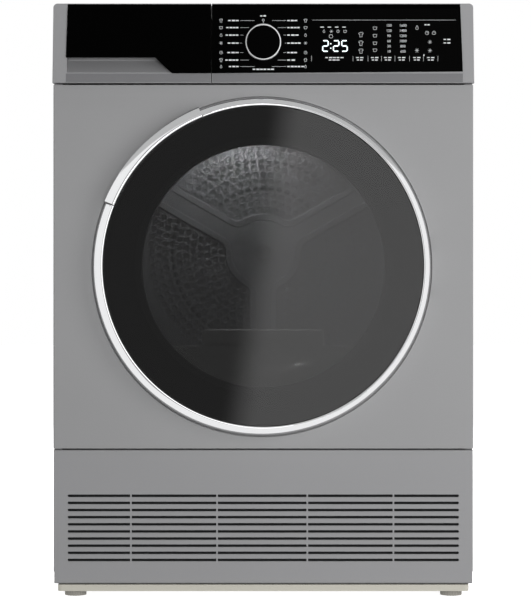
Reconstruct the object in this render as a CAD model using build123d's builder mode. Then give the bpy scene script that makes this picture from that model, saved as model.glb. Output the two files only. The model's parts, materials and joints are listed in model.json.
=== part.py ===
from build123d import *
import math
import os

# Front-loading condenser dryer, millimetres. Origin: middle of the footprint, on the floor.
# +Z is up, the front faces -Y, +X is to the right of someone facing the machine.

os.makedirs("parts", exist_ok=True)

# Driving dimensions -------------------------------------------------------------------------
WIDTH = 600.0
HEIGHT = 845.0
DEPTH = 609.0
FRONT_Y = -259.5                    # outer face of the painted front
REAR_Y = 286.0                      # outer face of the rear sheet
CASE_HALF = WIDTH / 2 - 0.6         # the painted casing is a little narrower than the panel
SHEET = 1.0                         # painted steel sheet
WALL = 2.5                          # moulded plastic wall

BASE_Z = 8.1                        # underside of the base tray
RAIL_Z = 17.4                       # top of the base tray's front rail
KICK_Z = (19.5, 209.8)
FRONT_Z = (211.9, 729.9)
PANEL_Z = (732.2, HEIGHT)
TOP_Z = (825.0, HEIGHT)

PANEL_Y = -267.0                    # face of the control panel
FASCIA_Y = PANEL_Y - 1.5            # black fascia stands proud of it
PANEL_SPLIT_X = -73.6               # joint between tank drawer and control panel
PANEL_TAPER = 1.6                   # the panel is this much narrower at its top, each side
FASCIA_Z = (745.6, 844.0)

DOOR_X = 0.0
DOOR_Z = 471.5                      # centre of the door glass
GLASS_R = 225.5
RING_X = -1.9                       # the chrome ring is set off centre, towards the handle
RING_Z = 471.0
RING_R = 238.5
RING_BACK_Y = -262.0
RING_FRONT_Y = -293.5
DOOR_FRONT_Y = -DEPTH / 2
RECESS_R = 242.7
RECESS_Y = -252.5                   # face of the recess floor in the front panel
HINGE_X = 229.0
HINGE_Y = -276.0
HINGE_PIN_R = 3.0
HANDLE_ANGLES = (112.0, 158.0)      # counter-clockwise from +X, seen from the front

THROAT_Z = 464.0                    # centre of the loading opening
THROAT_R = 186.0
SHELF_Z = 357.0                     # flat lower edge of the loading opening
DRUM_Z = 503.0
DRUM_R = 287.5
DRUM_Y = (-186.0, 206.0)
DRUM_WALL_Y = 188.0
MOTOR_X = 150.0
MOTOR_Z = 110.0
PULLEY_R = 10.0
BELT_Y = (137.0, 147.0)
RUN_FIT = 0.05                      # radial clearance of a pin or shaft in its bore


def front_plane(y):
    """Plane that faces the front at depth y: local x is +X, local y is +Z."""
    return Plane.XZ.offset(-y)


def radial_plane(x, z, degrees=0.0):
    """Half plane through the Y-parallel axis at x, z: local x is the radius, local y is +Y."""
    c = math.cos(math.radians(degrees))
    s = math.sin(math.radians(degrees))
    return Plane(origin=(x, 0, z), x_dir=(c, 0, s), z_dir=(-s, 0, c))


def axis_y(x, z):
    """Axis at x, z that turns counter-clockwise seen from the front."""
    return Axis((x, 0, z), (0, -1, 0))


def polar(radius, degrees):
    """Point of the front view at a radius and an angle."""
    return radius * math.cos(math.radians(degrees)), radius * math.sin(math.radians(degrees))


# Casing -------------------------------------------------------------------------------------
front_height = FRONT_Z[1] - FRONT_Z[0]
front_centre = (FRONT_Z[0] + FRONT_Z[1]) / 2
FRONT_FLANGE = 14.0
FRONT_HOLE_R = 205.0

with BuildPart() as front_panel:
    with BuildSketch(front_plane(FRONT_Y + FRONT_FLANGE)):
        with Locations((0, front_centre)):
            Rectangle(2 * CASE_HALF, front_height)
    extrude(amount=FRONT_FLANGE)
    fillet(front_panel.edges().filter_by(Axis.Z).sort_by(Axis.Y)[:2], radius=2.5)
    with BuildSketch(front_plane(FRONT_Y + FRONT_FLANGE)):
        with Locations((0, front_centre)):
            Rectangle(2 * (CASE_HALF - SHEET), front_height - 2 * SHEET)
    extrude(amount=FRONT_FLANGE - SHEET, mode=Mode.SUBTRACT)
    with BuildSketch(front_plane(RECESS_Y + SHEET)):
        with Locations((RING_X, RING_Z)):
            Circle(RECESS_R + SHEET)
    extrude(amount=RECESS_Y + SHEET - FRONT_Y - SHEET)
    with BuildSketch(front_plane(RECESS_Y)):
        with Locations((RING_X, RING_Z)):
            Circle(RECESS_R)
    extrude(amount=RECESS_Y - FRONT_Y, mode=Mode.SUBTRACT)
    with BuildSketch(front_plane(RECESS_Y + 2)):
        with Locations((DOOR_X, DOOR_Z)):
            Circle(FRONT_HOLE_R)
        with Locations((-FRONT_HOLE_R - 14, DOOR_Z)):
            SlotOverall(70, 18, rotation=90)
    extrude(amount=8, mode=Mode.SUBTRACT)
front_panel.part.label = "front_panel"
export_step(front_panel.part, "parts/front_panel.step")

SIDE_Y = (-245.0, REAR_Y - SHEET - 0.2)
SIDE_Z = (18.4, TOP_Z[0] - 0.4)
SIDE_FLANGE = (12.0, 22.0)          # inward flanges, front and rear
FLANGE_NOTCH_H = 28.0
EMBOSS = 2.6

for side, sign in (("left", -1), ("right", 1)):
    with BuildPart() as side_panel:
        with BuildSketch(Plane.XY.offset(SIDE_Z[0])):
            with BuildLine():
                outer = sign * CASE_HALF
                inner = sign * (CASE_HALF - SHEET)
                front_tip = sign * (CASE_HALF - SIDE_FLANGE[0])
                rear_tip = sign * (CASE_HALF - SIDE_FLANGE[1])
                Polyline(
                    (outer, SIDE_Y[0]), (outer, SIDE_Y[1]), (rear_tip, SIDE_Y[1]),
                    (rear_tip, SIDE_Y[1] - SHEET), (inner, SIDE_Y[1] - SHEET),
                    (inner, SIDE_Y[0] + SHEET), (front_tip, SIDE_Y[0] + SHEET),
                    (front_tip, SIDE_Y[0]), close=True,
                )
            make_face()
        extrude(amount=SIDE_Z[1] - SIDE_Z[0])
        # the front flange stops short of the kick plate's heel
        with BuildSketch(Plane.XY.offset(SIDE_Z[0])):
            with Locations((sign * (CASE_HALF - SHEET - SIDE_FLANGE[0] / 2), SIDE_Y[0] + SHEET)):
                Rectangle(SIDE_FLANGE[0], 6)
        extrude(amount=FLANGE_NOTCH_H, mode=Mode.SUBTRACT)
        emboss_face = Plane(
            origin=(sign * CASE_HALF, (SIDE_Y[0] + SIDE_Y[1]) / 2, (SIDE_Z[0] + SIDE_Z[1]) / 2),
            x_dir=(0, 1, 0), z_dir=(sign, 0, 0),
        )
        with BuildSketch(emboss_face.offset(-EMBOSS - SHEET)):
            RectangleRounded(402, 662, 31)
        extrude(amount=EMBOSS + 0.5 * SHEET)
        with BuildSketch(emboss_face.offset(-EMBOSS)):
            RectangleRounded(400, 660, 30)
        extrude(amount=EMBOSS, mode=Mode.SUBTRACT)
    side_panel.part.label = f"side_panel_{side}"
    export_step(side_panel.part, f"parts/side_panel_{side}.step")

REAR_Z = (62.0, TOP_Z[0] - 0.4)
rear_height = REAR_Z[1] - REAR_Z[0]
with BuildPart() as rear_panel:
    with BuildSketch(front_plane(REAR_Y)) as rear_outline:
        with Locations((0, (REAR_Z[0] + REAR_Z[1]) / 2)):
            RectangleRounded(2 * CASE_HALF - 2, rear_height, 4)
        with Locations((0, DRUM_Z)):
            Circle(150, mode=Mode.SUBTRACT)
        with Locations((MOTOR_X, MOTOR_Z + 40)):
            with GridLocations(18, 10, 7, 9):
                SlotOverall(14, 4.6, mode=Mode.SUBTRACT)
    extrude(amount=SHEET)
rear_panel.part.label = "rear_panel"
export_step(rear_panel.part, "parts/rear_panel.step")

# The rear cover carries hot air up to the drum's middle; it is the machine's rearmost piece.
COVER_DEPTH = DEPTH / 2 - REAR_Y
COVER_R = 196.0
with BuildPart() as rear_duct_cover:
    with BuildSketch(front_plane(DEPTH / 2)):
        with Locations((0, DRUM_Z)):
            Circle(COVER_R)
        with Locations((-110, DRUM_Z - 160)):
            RectangleRounded(150, 330, 30)
    extrude(amount=COVER_DEPTH)
    fillet(rear_duct_cover.faces().sort_by(Axis.Y)[-1].edges(), radius=9)
    with BuildSketch(front_plane(DEPTH / 2 - 1.2)):
        with Locations((0, DRUM_Z)):
            Circle(COVER_R - 10)
        with Locations((-110, DRUM_Z - 160)):
            RectangleRounded(130, 310, 22)
    extrude(amount=COVER_DEPTH - 1.2, mode=Mode.SUBTRACT)
rear_duct_cover.part.label = "rear_duct_cover"
export_step(rear_duct_cover.part, "parts/rear_duct_cover.step")

with BuildPart() as top_panel:
    with BuildSketch(Plane.XY.offset(TOP_Z[0])):
        with Locations((0, (-250.0 + REAR_Y) / 2)):
            RectangleRounded(2 * CASE_HALF, REAR_Y + 250.0, 3)
    extrude(amount=TOP_Z[1] - TOP_Z[0])
    fillet(top_panel.faces().sort_by(Axis.Z)[-1].edges(), radius=2.8)
top_panel.part.label = "top_panel"
export_step(top_panel.part, "parts/top_panel.step")

# Base ---------------------------------------------------------------------------------------
BASE_X = 293.5
BASE_Y = (-256.0, 280.0)
TRAY_WALL_Y = (-236.0, 272.0)
TRAY_TOP_Z = 60.0
KICK_PIVOT = (-253.0, 31.0)         # y, z of the kick plate's hinge pins
KICK_PIN_R = 2.0
HEEL_SWEEP_Y = -240.4               # as far back as the kick plate's lower edge swings
FOOT_X = 270.0
FOOT_Y = (-232.0, 250.0)
FOOT_STEM_R = 5.0
base_middle = (BASE_Y[0] + BASE_Y[1]) / 2

with BuildPart() as base_tray:
    with BuildSketch(Plane.XY.offset(BASE_Z)):
        with Locations((0, base_middle)):
            RectangleRounded(2 * BASE_X, BASE_Y[1] - BASE_Y[0], 6)
    extrude(amount=RAIL_Z - BASE_Z)
    with BuildSketch(Plane.XY.offset(BASE_Z)):
        with Locations((0, base_middle)):
            RectangleRounded(2 * BASE_X - 12, BASE_Y[1] - BASE_Y[0] - 12, 4)
    extrude(amount=RAIL_Z - BASE_Z - 3, mode=Mode.SUBTRACT)
    with BuildSketch(Plane.XY.offset(RAIL_Z)):
        with Locations((0, (TRAY_WALL_Y[0] + TRAY_WALL_Y[1]) / 2)):
            RectangleRounded(580, TRAY_WALL_Y[1] - TRAY_WALL_Y[0], 10)
            RectangleRounded(574, TRAY_WALL_Y[1] - TRAY_WALL_Y[0] - 6, 7, mode=Mode.SUBTRACT)
    extrude(amount=TRAY_TOP_Z - RAIL_Z)
    with BuildSketch(Plane.XY.offset(BASE_Z + 1)):
        for foot_y in FOOT_Y:
            with Locations((-FOOT_X, foot_y), (FOOT_X, foot_y)):
                Circle(11)
    extrude(amount=RAIL_Z - BASE_Z + 22)
    # the front foot bosses are flat in front, to leave room for the kick plate's heel
    with BuildSketch(Plane.XY.offset(RAIL_Z)):
        for foot_x in (-FOOT_X, FOOT_X):
            with Locations((foot_x, (BASE_Y[0] + HEEL_SWEEP_Y) / 2)):
                Rectangle(24, HEEL_SWEEP_Y - BASE_Y[0])
    extrude(amount=24, mode=Mode.SUBTRACT)
    with BuildSketch(Plane.XY.offset(BASE_Z)):
        for foot_y in FOOT_Y:
            with Locations((-FOOT_X, foot_y), (FOOT_X, foot_y)):
                Circle(FOOT_STEM_R + RUN_FIT)
    extrude(amount=60, mode=Mode.SUBTRACT)
    for arm_x in (-284.0, 280.0):
        with BuildSketch(Plane.YZ.offset(arm_x)):
            with Locations(((KICK_PIVOT[0] + TRAY_WALL_Y[0]) / 2, KICK_PIVOT[1])):
                SlotCenterToCenter(TRAY_WALL_Y[0] - KICK_PIVOT[0], 6.4)
        extrude(amount=4)
    for pin_x in (-289.6, 280.0):
        with BuildSketch(Plane.YZ.offset(pin_x)):
            with Locations(KICK_PIVOT):
                Circle(KICK_PIN_R)
        extrude(amount=9.6)
base_tray.part.label = "base_tray"
export_step(base_tray.part, "parts/base_tray.step")

FOOT_PAD_H = 7.4
for end, foot_y in (("front", FOOT_Y[0]), ("rear", FOOT_Y[1])):
    for side, foot_x in (("left", -FOOT_X), ("right", FOOT_X)):
        with BuildPart() as foot:
            with BuildSketch(Plane.XY):
                with Locations((foot_x, foot_y)):
                    Circle(15.5)
                    with PolarLocations(15.6, 24):
                        Circle(0.9, mode=Mode.SUBTRACT)
            extrude(amount=FOOT_PAD_H)
            with BuildSketch(Plane.XY.offset(FOOT_PAD_H)):
                with Locations((foot_x, foot_y)):
                    Circle(FOOT_STEM_R)
            extrude(amount=42)
        foot.part.label = f"foot_{end}_{side}"
        export_step(foot.part, f"parts/foot_{end}_{side}.step")

# Kick plate: a flap with ten rows of air slots, hinged at its lower edge ----------------------
KICK_HALF = CASE_HALF - 0.5
KICK_DEPTH = 10.0
GRILLE_ROWS = 10
GRILLE_PITCH = 10.16
GRILLE_TOP_Z = 144.5
SLOT_H = 3.7
GRILLE_W = 557.6
RIB_W = 2.3
RIB_X = (-188.7, -65.9, 62.7, 185.5)
HEEL_TRIM = 1.1                     # the part below the hinge is narrower, to pass the side panels
HEEL_H = 17.0
kick_height = KICK_Z[1] - KICK_Z[0]
kick_centre = (KICK_Z[0] + KICK_Z[1]) / 2
KICK_BACK_Y = FRONT_Y + KICK_DEPTH

with BuildPart() as kick_plate:
    with BuildSketch(front_plane(KICK_BACK_Y)):
        with Locations((0, kick_centre)):
            Rectangle(2 * KICK_HALF, kick_height)
    extrude(amount=KICK_DEPTH)
    fillet(kick_plate.faces().sort_by(Axis.Y)[0].edges(), radius=2.2)
    with BuildSketch(front_plane(KICK_BACK_Y)):
        with Locations((0, kick_centre)):
            Rectangle(2 * (KICK_HALF - WALL), kick_height - 2 * WALL)
    extrude(amount=KICK_DEPTH - WALL, mode=Mode.SUBTRACT)
    with BuildSketch(front_plane(KICK_BACK_Y)):
        with Locations((0, GRILLE_TOP_Z - GRILLE_PITCH * (GRILLE_ROWS - 1) / 2)):
            with GridLocations(GRILLE_W, GRILLE_PITCH, 1, GRILLE_ROWS):
                SlotOverall(GRILLE_W, SLOT_H)
        for rib_x in RIB_X:
            with Locations((rib_x, GRILLE_TOP_Z - GRILLE_PITCH * (GRILLE_ROWS - 1) / 2)):
                Rectangle(RIB_W, GRILLE_PITCH * GRILLE_ROWS, mode=Mode.SUBTRACT)
    extrude(amount=KICK_DEPTH + 1, mode=Mode.SUBTRACT)
    for heel_x in (-KICK_HALF, KICK_HALF - HEEL_TRIM):
        with BuildSketch(Plane.YZ.offset(heel_x)):
            with Locations((KICK_BACK_Y - KICK_DEPTH / 2, KICK_Z[0] + HEEL_H / 2)):
                Rectangle(KICK_DEPTH, HEEL_H)
        extrude(amount=HEEL_TRIM, mode=Mode.SUBTRACT)
    for notch_x in (-285.2, 278.8):
        with BuildSketch(Plane.YZ.offset(notch_x)):
            with Locations((-252.5, KICK_Z[0] + 1)):
                Rectangle(9, 5)
        extrude(amount=6.4, mode=Mode.SUBTRACT)
    for tab_x in (-288.6, 285.6):
        with BuildSketch(Plane.YZ.offset(tab_x)):
            with Locations(KICK_PIVOT):
                Circle(4.6)
            with Locations((KICK_PIVOT[0] - 2.1, KICK_PIVOT[1])):
                Rectangle(4.2, 9.2)
            with Locations(KICK_PIVOT):
                Circle(KICK_PIN_R + RUN_FIT, mode=Mode.SUBTRACT)
        extrude(amount=3)
kick_plate.part.label = "kick_plate"
export_step(kick_plate.part, "parts/kick_plate.step")

# Door ---------------------------------------------------------------------------------------
HINGE_EARS_Z = (-38.0, 38.0)        # middle height of each fixed ear, from the door's centre
EAR_T = 4.0
POCKET_R = 27.5                     # room round the pin for the fixed ears, inside the door
handle_sweep = HANDLE_ANGLES[1] - HANDLE_ANGLES[0]

with BuildPart() as handle_gap:
    with BuildSketch(front_plane(-255)):
        with BuildLine():
            start = polar(300, HANDLE_ANGLES[0])
            end = polar(300, HANDLE_ANGLES[1])
            Line((DOOR_X, DOOR_Z), (DOOR_X + start[0], DOOR_Z + start[1]))
            CenterArc((DOOR_X, DOOR_Z), 300, HANDLE_ANGLES[0], handle_sweep)
            Line((DOOR_X + end[0], DOOR_Z + end[1]), (DOOR_X, DOOR_Z))
        make_face()
    extrude(amount=60)

with BuildPart() as ear_pockets:
    for ear_z in HINGE_EARS_Z:
        with BuildSketch(Plane.XY.offset(DOOR_Z + ear_z - EAR_T / 2 - 1.2)):
            with BuildLine():
                Line((HINGE_X, HINGE_Y), (HINGE_X + 40, HINGE_Y))
                Line((HINGE_X + 40, HINGE_Y), (HINGE_X + 40, HINGE_Y + 40))
                Line((HINGE_X + 40, HINGE_Y + 40), (HINGE_X - POCKET_R, HINGE_Y + 40))
                Line((HINGE_X - POCKET_R, HINGE_Y + 40), (HINGE_X - POCKET_R, HINGE_Y))
                CenterArc((HINGE_X, HINGE_Y), POCKET_R, 180, 25)
                RadiusArc(
                    (HINGE_X + POCKET_R * math.cos(math.radians(205)),
                     HINGE_Y + POCKET_R * math.sin(math.radians(205))),
                    (HINGE_X, HINGE_Y - 6), -60,
                )
                Line((HINGE_X, HINGE_Y - 6), (HINGE_X, HINGE_Y))
            make_face()
            with Locations((HINGE_X, HINGE_Y)):
                Circle(6)
        extrude(amount=EAR_T + 2.4)

LEAF_HALF = HINGE_EARS_Z[1] - EAR_T / 2 - 1.6
with BuildPart() as hinge_room:
    with BuildSketch(Plane.XY.offset(DOOR_Z - LEAF_HALF - 0.5)):
        with Locations((225.0, -272.0)):
            Rectangle(20, 20)
    extrude(amount=2 * LEAF_HALF + 1)

with BuildPart() as door_ring:
    with BuildSketch(radial_plane(RING_X, RING_Z)):
        with BuildLine():
            Line((215, RING_BACK_Y), (RING_R, RING_BACK_Y))
            Line((RING_R, RING_BACK_Y), (RING_R, RING_FRONT_Y + 10))
            ThreePointArc(
                (RING_R, RING_FRONT_Y + 10), (RING_R - 2.3, RING_FRONT_Y + 3),
                (RING_R - 8.5, RING_FRONT_Y),
            )
            Line((RING_R - 8.5, RING_FRONT_Y), (215, RING_FRONT_Y))
            Line((215, RING_FRONT_Y), (215, RING_BACK_Y))
        make_face()
    revolve(axis=axis_y(RING_X, RING_Z))
    with BuildSketch(front_plane(RING_BACK_Y)):
        with Locations((DOOR_X, DOOR_Z)):
            Circle(GLASS_R + 0.5)
    extrude(amount=60, mode=Mode.SUBTRACT)
    with BuildSketch(front_plane(RING_BACK_Y)):
        with Locations((RING_X, RING_Z)):
            Circle(RING_R - 1.6)
            Circle(RING_R - 9.0, mode=Mode.SUBTRACT)
    extrude(amount=24, mode=Mode.SUBTRACT)
    add(handle_gap.part, mode=Mode.SUBTRACT)
    add(ear_pockets.part, mode=Mode.SUBTRACT)
    add(hinge_room.part, mode=Mode.SUBTRACT)
door_ring.part.label = "door_ring"
export_step(door_ring.part, "parts/door_ring.step")

# The grab handle fills the ring's gap and stands further out, with finger room behind it.
HANDLE_R = 243.3
HANDLE_BACK_Y = -277.0
HANDLE_FRONT_Y = -295.5
with BuildPart() as door_handle:
    with BuildSketch(radial_plane(DOOR_X, DOOR_Z, HANDLE_ANGLES[0] + 0.1)):
        with BuildLine():
            inner_r = GLASS_R + 0.5
            Line((inner_r, HANDLE_BACK_Y), (HANDLE_R - 4, HANDLE_BACK_Y))
            RadiusArc((HANDLE_R - 4, HANDLE_BACK_Y), (HANDLE_R, HANDLE_BACK_Y - 4), -4)
            Line((HANDLE_R, HANDLE_BACK_Y - 4), (HANDLE_R, HANDLE_FRONT_Y + 7))
            RadiusArc((HANDLE_R, HANDLE_FRONT_Y + 7), (HANDLE_R - 7, HANDLE_FRONT_Y), -7)
            Line((HANDLE_R - 7, HANDLE_FRONT_Y), (inner_r, HANDLE_FRONT_Y))
            Line((inner_r, HANDLE_FRONT_Y), (inner_r, HANDLE_BACK_Y))
        make_face()
    revolve(axis=axis_y(DOOR_X, DOOR_Z), revolution_arc=handle_sweep - 0.2)
door_handle.part.label = "door_handle"
export_step(door_handle.part, "parts/door_handle.step")

# Outer glass: a shallow dome.
GLASS_EDGE_Y = -291.0
GLASS_T = 4.0
glass_rise = GLASS_EDGE_Y - DOOR_FRONT_Y
dome_r = (GLASS_R ** 2 + glass_rise ** 2) / (2 * glass_rise)
with BuildPart() as door_glass:
    with BuildSketch(radial_plane(DOOR_X, DOOR_Z)):
        with BuildLine():
            Line((0, DOOR_FRONT_Y + GLASS_T), (0, DOOR_FRONT_Y))
            RadiusArc((0, DOOR_FRONT_Y), (GLASS_R, GLASS_EDGE_Y), -dome_r)
            Line((GLASS_R, GLASS_EDGE_Y), (GLASS_R, GLASS_EDGE_Y + GLASS_T))
            RadiusArc((GLASS_R, GLASS_EDGE_Y + GLASS_T), (0, DOOR_FRONT_Y + GLASS_T), dome_r)
        make_face()
    revolve(axis=axis_y(DOOR_X, DOOR_Z))
door_glass.part.label = "door_glass"
export_step(door_glass.part, "parts/door_glass.step")

FRAME_R = 223.6
FRAME_BORE = 172.0
FRAME_FRONT_Y = -286.6
FRAME_BACK_Y = -262.8
with BuildPart() as door_inner_frame:
    with BuildSketch(radial_plane(DOOR_X, DOOR_Z)):
        with BuildLine():
            Polyline(
                (FRAME_R, FRAME_FRONT_Y), (FRAME_R, FRAME_BACK_Y - 4), (FRAME_R - 4, FRAME_BACK_Y),
                (FRAME_BORE, FRAME_BACK_Y), (FRAME_BORE, FRAME_FRONT_Y),
                (FRAME_BORE + 3, FRAME_FRONT_Y), (FRAME_BORE + 3, FRAME_BACK_Y - 3),
                (FRAME_R - 5, FRAME_BACK_Y - 3), (FRAME_R - 3, FRAME_BACK_Y - 5),
                (FRAME_R - 3, FRAME_FRONT_Y), close=True,
            )
        make_face()
    revolve(axis=axis_y(DOOR_X, DOOR_Z))
    add(ear_pockets.part, mode=Mode.SUBTRACT)
    add(hinge_room.part, mode=Mode.SUBTRACT)
door_inner_frame.part.label = "door_inner_frame"
export_step(door_inner_frame.part, "parts/door_inner_frame.step")

# Inner glass bowl: it keeps the laundry in the drum.
BOWL_BACK_Y = -229.0
with BuildPart() as door_bowl:
    with BuildSketch(radial_plane(DOOR_X, DOOR_Z)):
        with BuildLine():
            Polyline(
                (0, BOWL_BACK_Y), (120, BOWL_BACK_Y - 3), (146, BOWL_BACK_Y - 12), (159, -263),
                (171.5, -267), (171.5, -271), (156, -267.5), (142.5, BOWL_BACK_Y - 15),
                (118, BOWL_BACK_Y - 7), (0, BOWL_BACK_Y - 4), close=True,
            )
        make_face()
        fillet(vertices().filter_by(lambda v: 100 < v.X < 168), radius=6)
    revolve(axis=axis_y(DOOR_X, DOOR_Z))
door_bowl.part.label = "door_bowl"
export_step(door_bowl.part, "parts/door_bowl.step")

with BuildPart() as door_seal:
    with BuildSketch(radial_plane(DOOR_X, DOOR_Z)):
        with Locations((195, (FRAME_BACK_Y - 254.2) / 2)):
            RectangleRounded(7, -254.2 - FRAME_BACK_Y, 2.5)
    revolve(axis=axis_y(DOOR_X, DOOR_Z))
door_seal.part.label = "door_seal"
export_step(door_seal.part, "parts/door_seal.step")

# Fixed half of the hinge: a plate on the recess floor, two ears and the pin between them.
with BuildPart() as hinge_bracket:
    with BuildSketch(front_plane(RECESS_Y)):
        with Locations((214, DOOR_Z)):
            RectangleRounded(14, 112, 4)
    extrude(amount=2.5)
    for ear_z in HINGE_EARS_Z:
        with BuildSketch(Plane.XY.offset(DOOR_Z + ear_z - EAR_T / 2)):
            with BuildLine():
                Polyline(
                    (208, RECESS_Y), (208, -271), (213, -280), (HINGE_X, HINGE_Y - 4.6),
                    (HINGE_X, HINGE_Y + 4.6), (219, -268), (219, RECESS_Y), close=True,
                )
            make_face()
            with Locations((HINGE_X, HINGE_Y)):
                Circle(4.6)
        extrude(amount=EAR_T)
    with BuildSketch(Plane.XY.offset(DOOR_Z - 40.5)):
        with Locations((HINGE_X, HINGE_Y)):
            Circle(HINGE_PIN_R)
    extrude(amount=81)
hinge_bracket.part.label = "hinge_bracket"
export_step(hinge_bracket.part, "parts/hinge_bracket.step")

# Door half of the hinge: a knuckle round the pin and a leaf screwed into the inner frame.
with BuildPart() as hinge_leaf:
    with BuildSketch(Plane.XY.offset(DOOR_Z - LEAF_HALF)):
        with BuildLine():
            Polyline(
                (HINGE_X, HINGE_Y - 4.8), (209, -268.8), (185, -268.8), (185, FRAME_BACK_Y - 3),
                (210, FRAME_BACK_Y - 3), (HINGE_X, HINGE_Y - 1.2), close=True,
            )
        make_face()
        with Locations((HINGE_X, HINGE_Y)):
            Circle(4.8)
        with Locations((HINGE_X, HINGE_Y)):
            Circle(HINGE_PIN_R + RUN_FIT, mode=Mode.SUBTRACT)
    extrude(amount=2 * LEAF_HALF)
hinge_leaf.part.label = "hinge_leaf"
export_step(hinge_leaf.part, "parts/hinge_leaf.step")

LATCH_X = -FRONT_HOLE_R - 14
with BuildPart() as latch_hook:
    with BuildSketch(Plane.XY.offset(DOOR_Z - 5)):
        with BuildLine():
            Polyline(
                (LATCH_X - 4, FRAME_BACK_Y), (LATCH_X + 4, FRAME_BACK_Y), (LATCH_X + 4, -243),
                (LATCH_X, -238), (LATCH_X - 6, -243), (LATCH_X - 6, -246), (LATCH_X - 1, -248),
                (LATCH_X - 1, -256), (LATCH_X - 4, -258), close=True,
            )
        make_face()
    extrude(amount=10)
latch_hook.part.label = "latch_hook"
export_step(latch_hook.part, "parts/latch_hook.step")

with BuildPart() as door_lock:
    with BuildSketch(front_plane(-226)):
        with Locations((LATCH_X - 4, DOOR_Z)):
            RectangleRounded(34, 84, 4)
    extrude(amount=25)
    with BuildSketch(front_plane(-231)):
        with Locations((LATCH_X, DOOR_Z)):
            RectangleRounded(17, 30, 2)
    extrude(amount=30, mode=Mode.SUBTRACT)
door_lock.part.label = "door_lock"
export_step(door_lock.part, "parts/door_lock.step")

# Loading throat, bulkhead and lint filter -----------------------------------------------------
PLATE_Y = (-204.0, -201.0)
FLANGE_Y = -251.3
COLLAR_R = 203.0
FILTER_Y = (-221.0, -206.5)
FILTER_HALF = 88.0
FILTER_Z = (306.0, 381.0)
ROLLER_R = 25.0
ROLLER_Y = (-180.0, -164.0)
ROLLER_ANGLE = 32.0
AXLE_R = 5.0
roller_reach = DRUM_R + ROLLER_R + 0.35
roller_x = roller_reach * math.sin(math.radians(ROLLER_ANGLE))
roller_z = DRUM_Z - roller_reach * math.cos(math.radians(ROLLER_ANGLE))
LAMP_Y = -216.0
lamp_x, lamp_z = polar(THROAT_R, 58)

with BuildPart() as front_bulkhead:
    with BuildSketch(front_plane(PLATE_Y[1])):
        with Locations((0, 463)):
            RectangleRounded(584, 522, 20)
        with Locations((DOOR_X, THROAT_Z)):
            Circle(THROAT_R, mode=Mode.SUBTRACT)
    extrude(amount=PLATE_Y[1] - PLATE_Y[0])
    with BuildSketch(front_plane(PLATE_Y[0])):
        with Locations((DOOR_X, THROAT_Z)):
            Circle(THROAT_R + 3)
            Circle(THROAT_R, mode=Mode.SUBTRACT)
    extrude(amount=PLATE_Y[0] - FLANGE_Y)
    with BuildSketch(front_plane(FLANGE_Y + 2)):
        with Locations((DOOR_X, DOOR_Z)):
            Circle(FRONT_HOLE_R + 9)
        with Locations((DOOR_X, THROAT_Z)):
            Circle(THROAT_R, mode=Mode.SUBTRACT)
        with Locations((LATCH_X, DOOR_Z)):
            RectangleRounded(54, 110, 4, mode=Mode.SUBTRACT)
    extrude(amount=2)
    with BuildSketch(front_plane(DRUM_Y[0] + 8)):
        with Locations((DOOR_X, DRUM_Z)):
            Circle(COLLAR_R)
            Circle(COLLAR_R - 2.5, mode=Mode.SUBTRACT)
    extrude(amount=DRUM_Y[0] + 8 - PLATE_Y[1])
    with BuildSketch(front_plane(ROLLER_Y[1] + 4)):
        with Locations((-roller_x, roller_z), (roller_x, roller_z)):
            Circle(AXLE_R)
    extrude(amount=ROLLER_Y[1] + 4 - PLATE_Y[1])
    with BuildSketch(Plane(
        origin=(lamp_x * 0.9, LAMP_Y, THROAT_Z + lamp_z * 0.9), z_dir=(lamp_x, 0, lamp_z),
    )):
        Circle(9.2)
    extrude(amount=40, mode=Mode.SUBTRACT)
front_bulkhead.part.label = "front_bulkhead"
export_step(front_bulkhead.part, "parts/front_bulkhead.step")

with BuildPart() as filter_housing:
    with BuildSketch(front_plane(PLATE_Y[0] + 0.5)):
        with Locations((DOOR_X, THROAT_Z)):
            Circle(THROAT_R - 0.2)
        with Locations((DOOR_X, SHELF_Z + 200)):
            Rectangle(500, 400, mode=Mode.SUBTRACT)
    extrude(amount=PLATE_Y[0] + 0.5 - BOWL_BACK_Y - 2)
    fillet(filter_housing.edges().filter_by(Axis.Y), radius=9)
    with BuildSketch(Plane.XY.offset(FILTER_Z[0] - 0.2)):
        with Locations((0, (FILTER_Y[0] + FILTER_Y[1]) / 2)):
            Rectangle(2 * FILTER_HALF + 2, FILTER_Y[1] - FILTER_Y[0] + 1.2)
    extrude(amount=200, mode=Mode.SUBTRACT)
filter_housing.part.label = "filter_housing"
export_step(filter_housing.part, "parts/filter_housing.step")

with BuildPart() as lint_filter:
    with BuildSketch(front_plane(FILTER_Y[1])):
        with Locations((0, (FILTER_Z[0] + FILTER_Z[1]) / 2)):
            RectangleRounded(2 * FILTER_HALF, FILTER_Z[1] - FILTER_Z[0], 6)
    extrude(amount=FILTER_Y[1] - FILTER_Y[0])
    with BuildSketch(front_plane(FILTER_Y[1] - 1)):
        with Locations((0, 337)):
            with GridLocations(57, 1, 3, 1):
                RectangleRounded(50, 50, 4)
    extrude(amount=FILTER_Y[1] - FILTER_Y[0], mode=Mode.SUBTRACT)
    fillet(lint_filter.faces().sort_by(Axis.Z)[-1].edges().filter_by(Axis.X), radius=3)
lint_filter.part.label = "lint_filter"
export_step(lint_filter.part, "parts/lint_filter.step")

with BuildPart() as drum_lamp:
    with BuildSketch(Plane(
        origin=(lamp_x * 0.985, LAMP_Y, THROAT_Z + lamp_z * 0.985), z_dir=(lamp_x, 0, lamp_z),
    )):
        Circle(8.9)
    extrude(amount=16)
drum_lamp.part.label = "drum_lamp"
export_step(drum_lamp.part, "parts/drum_lamp.step")

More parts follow.
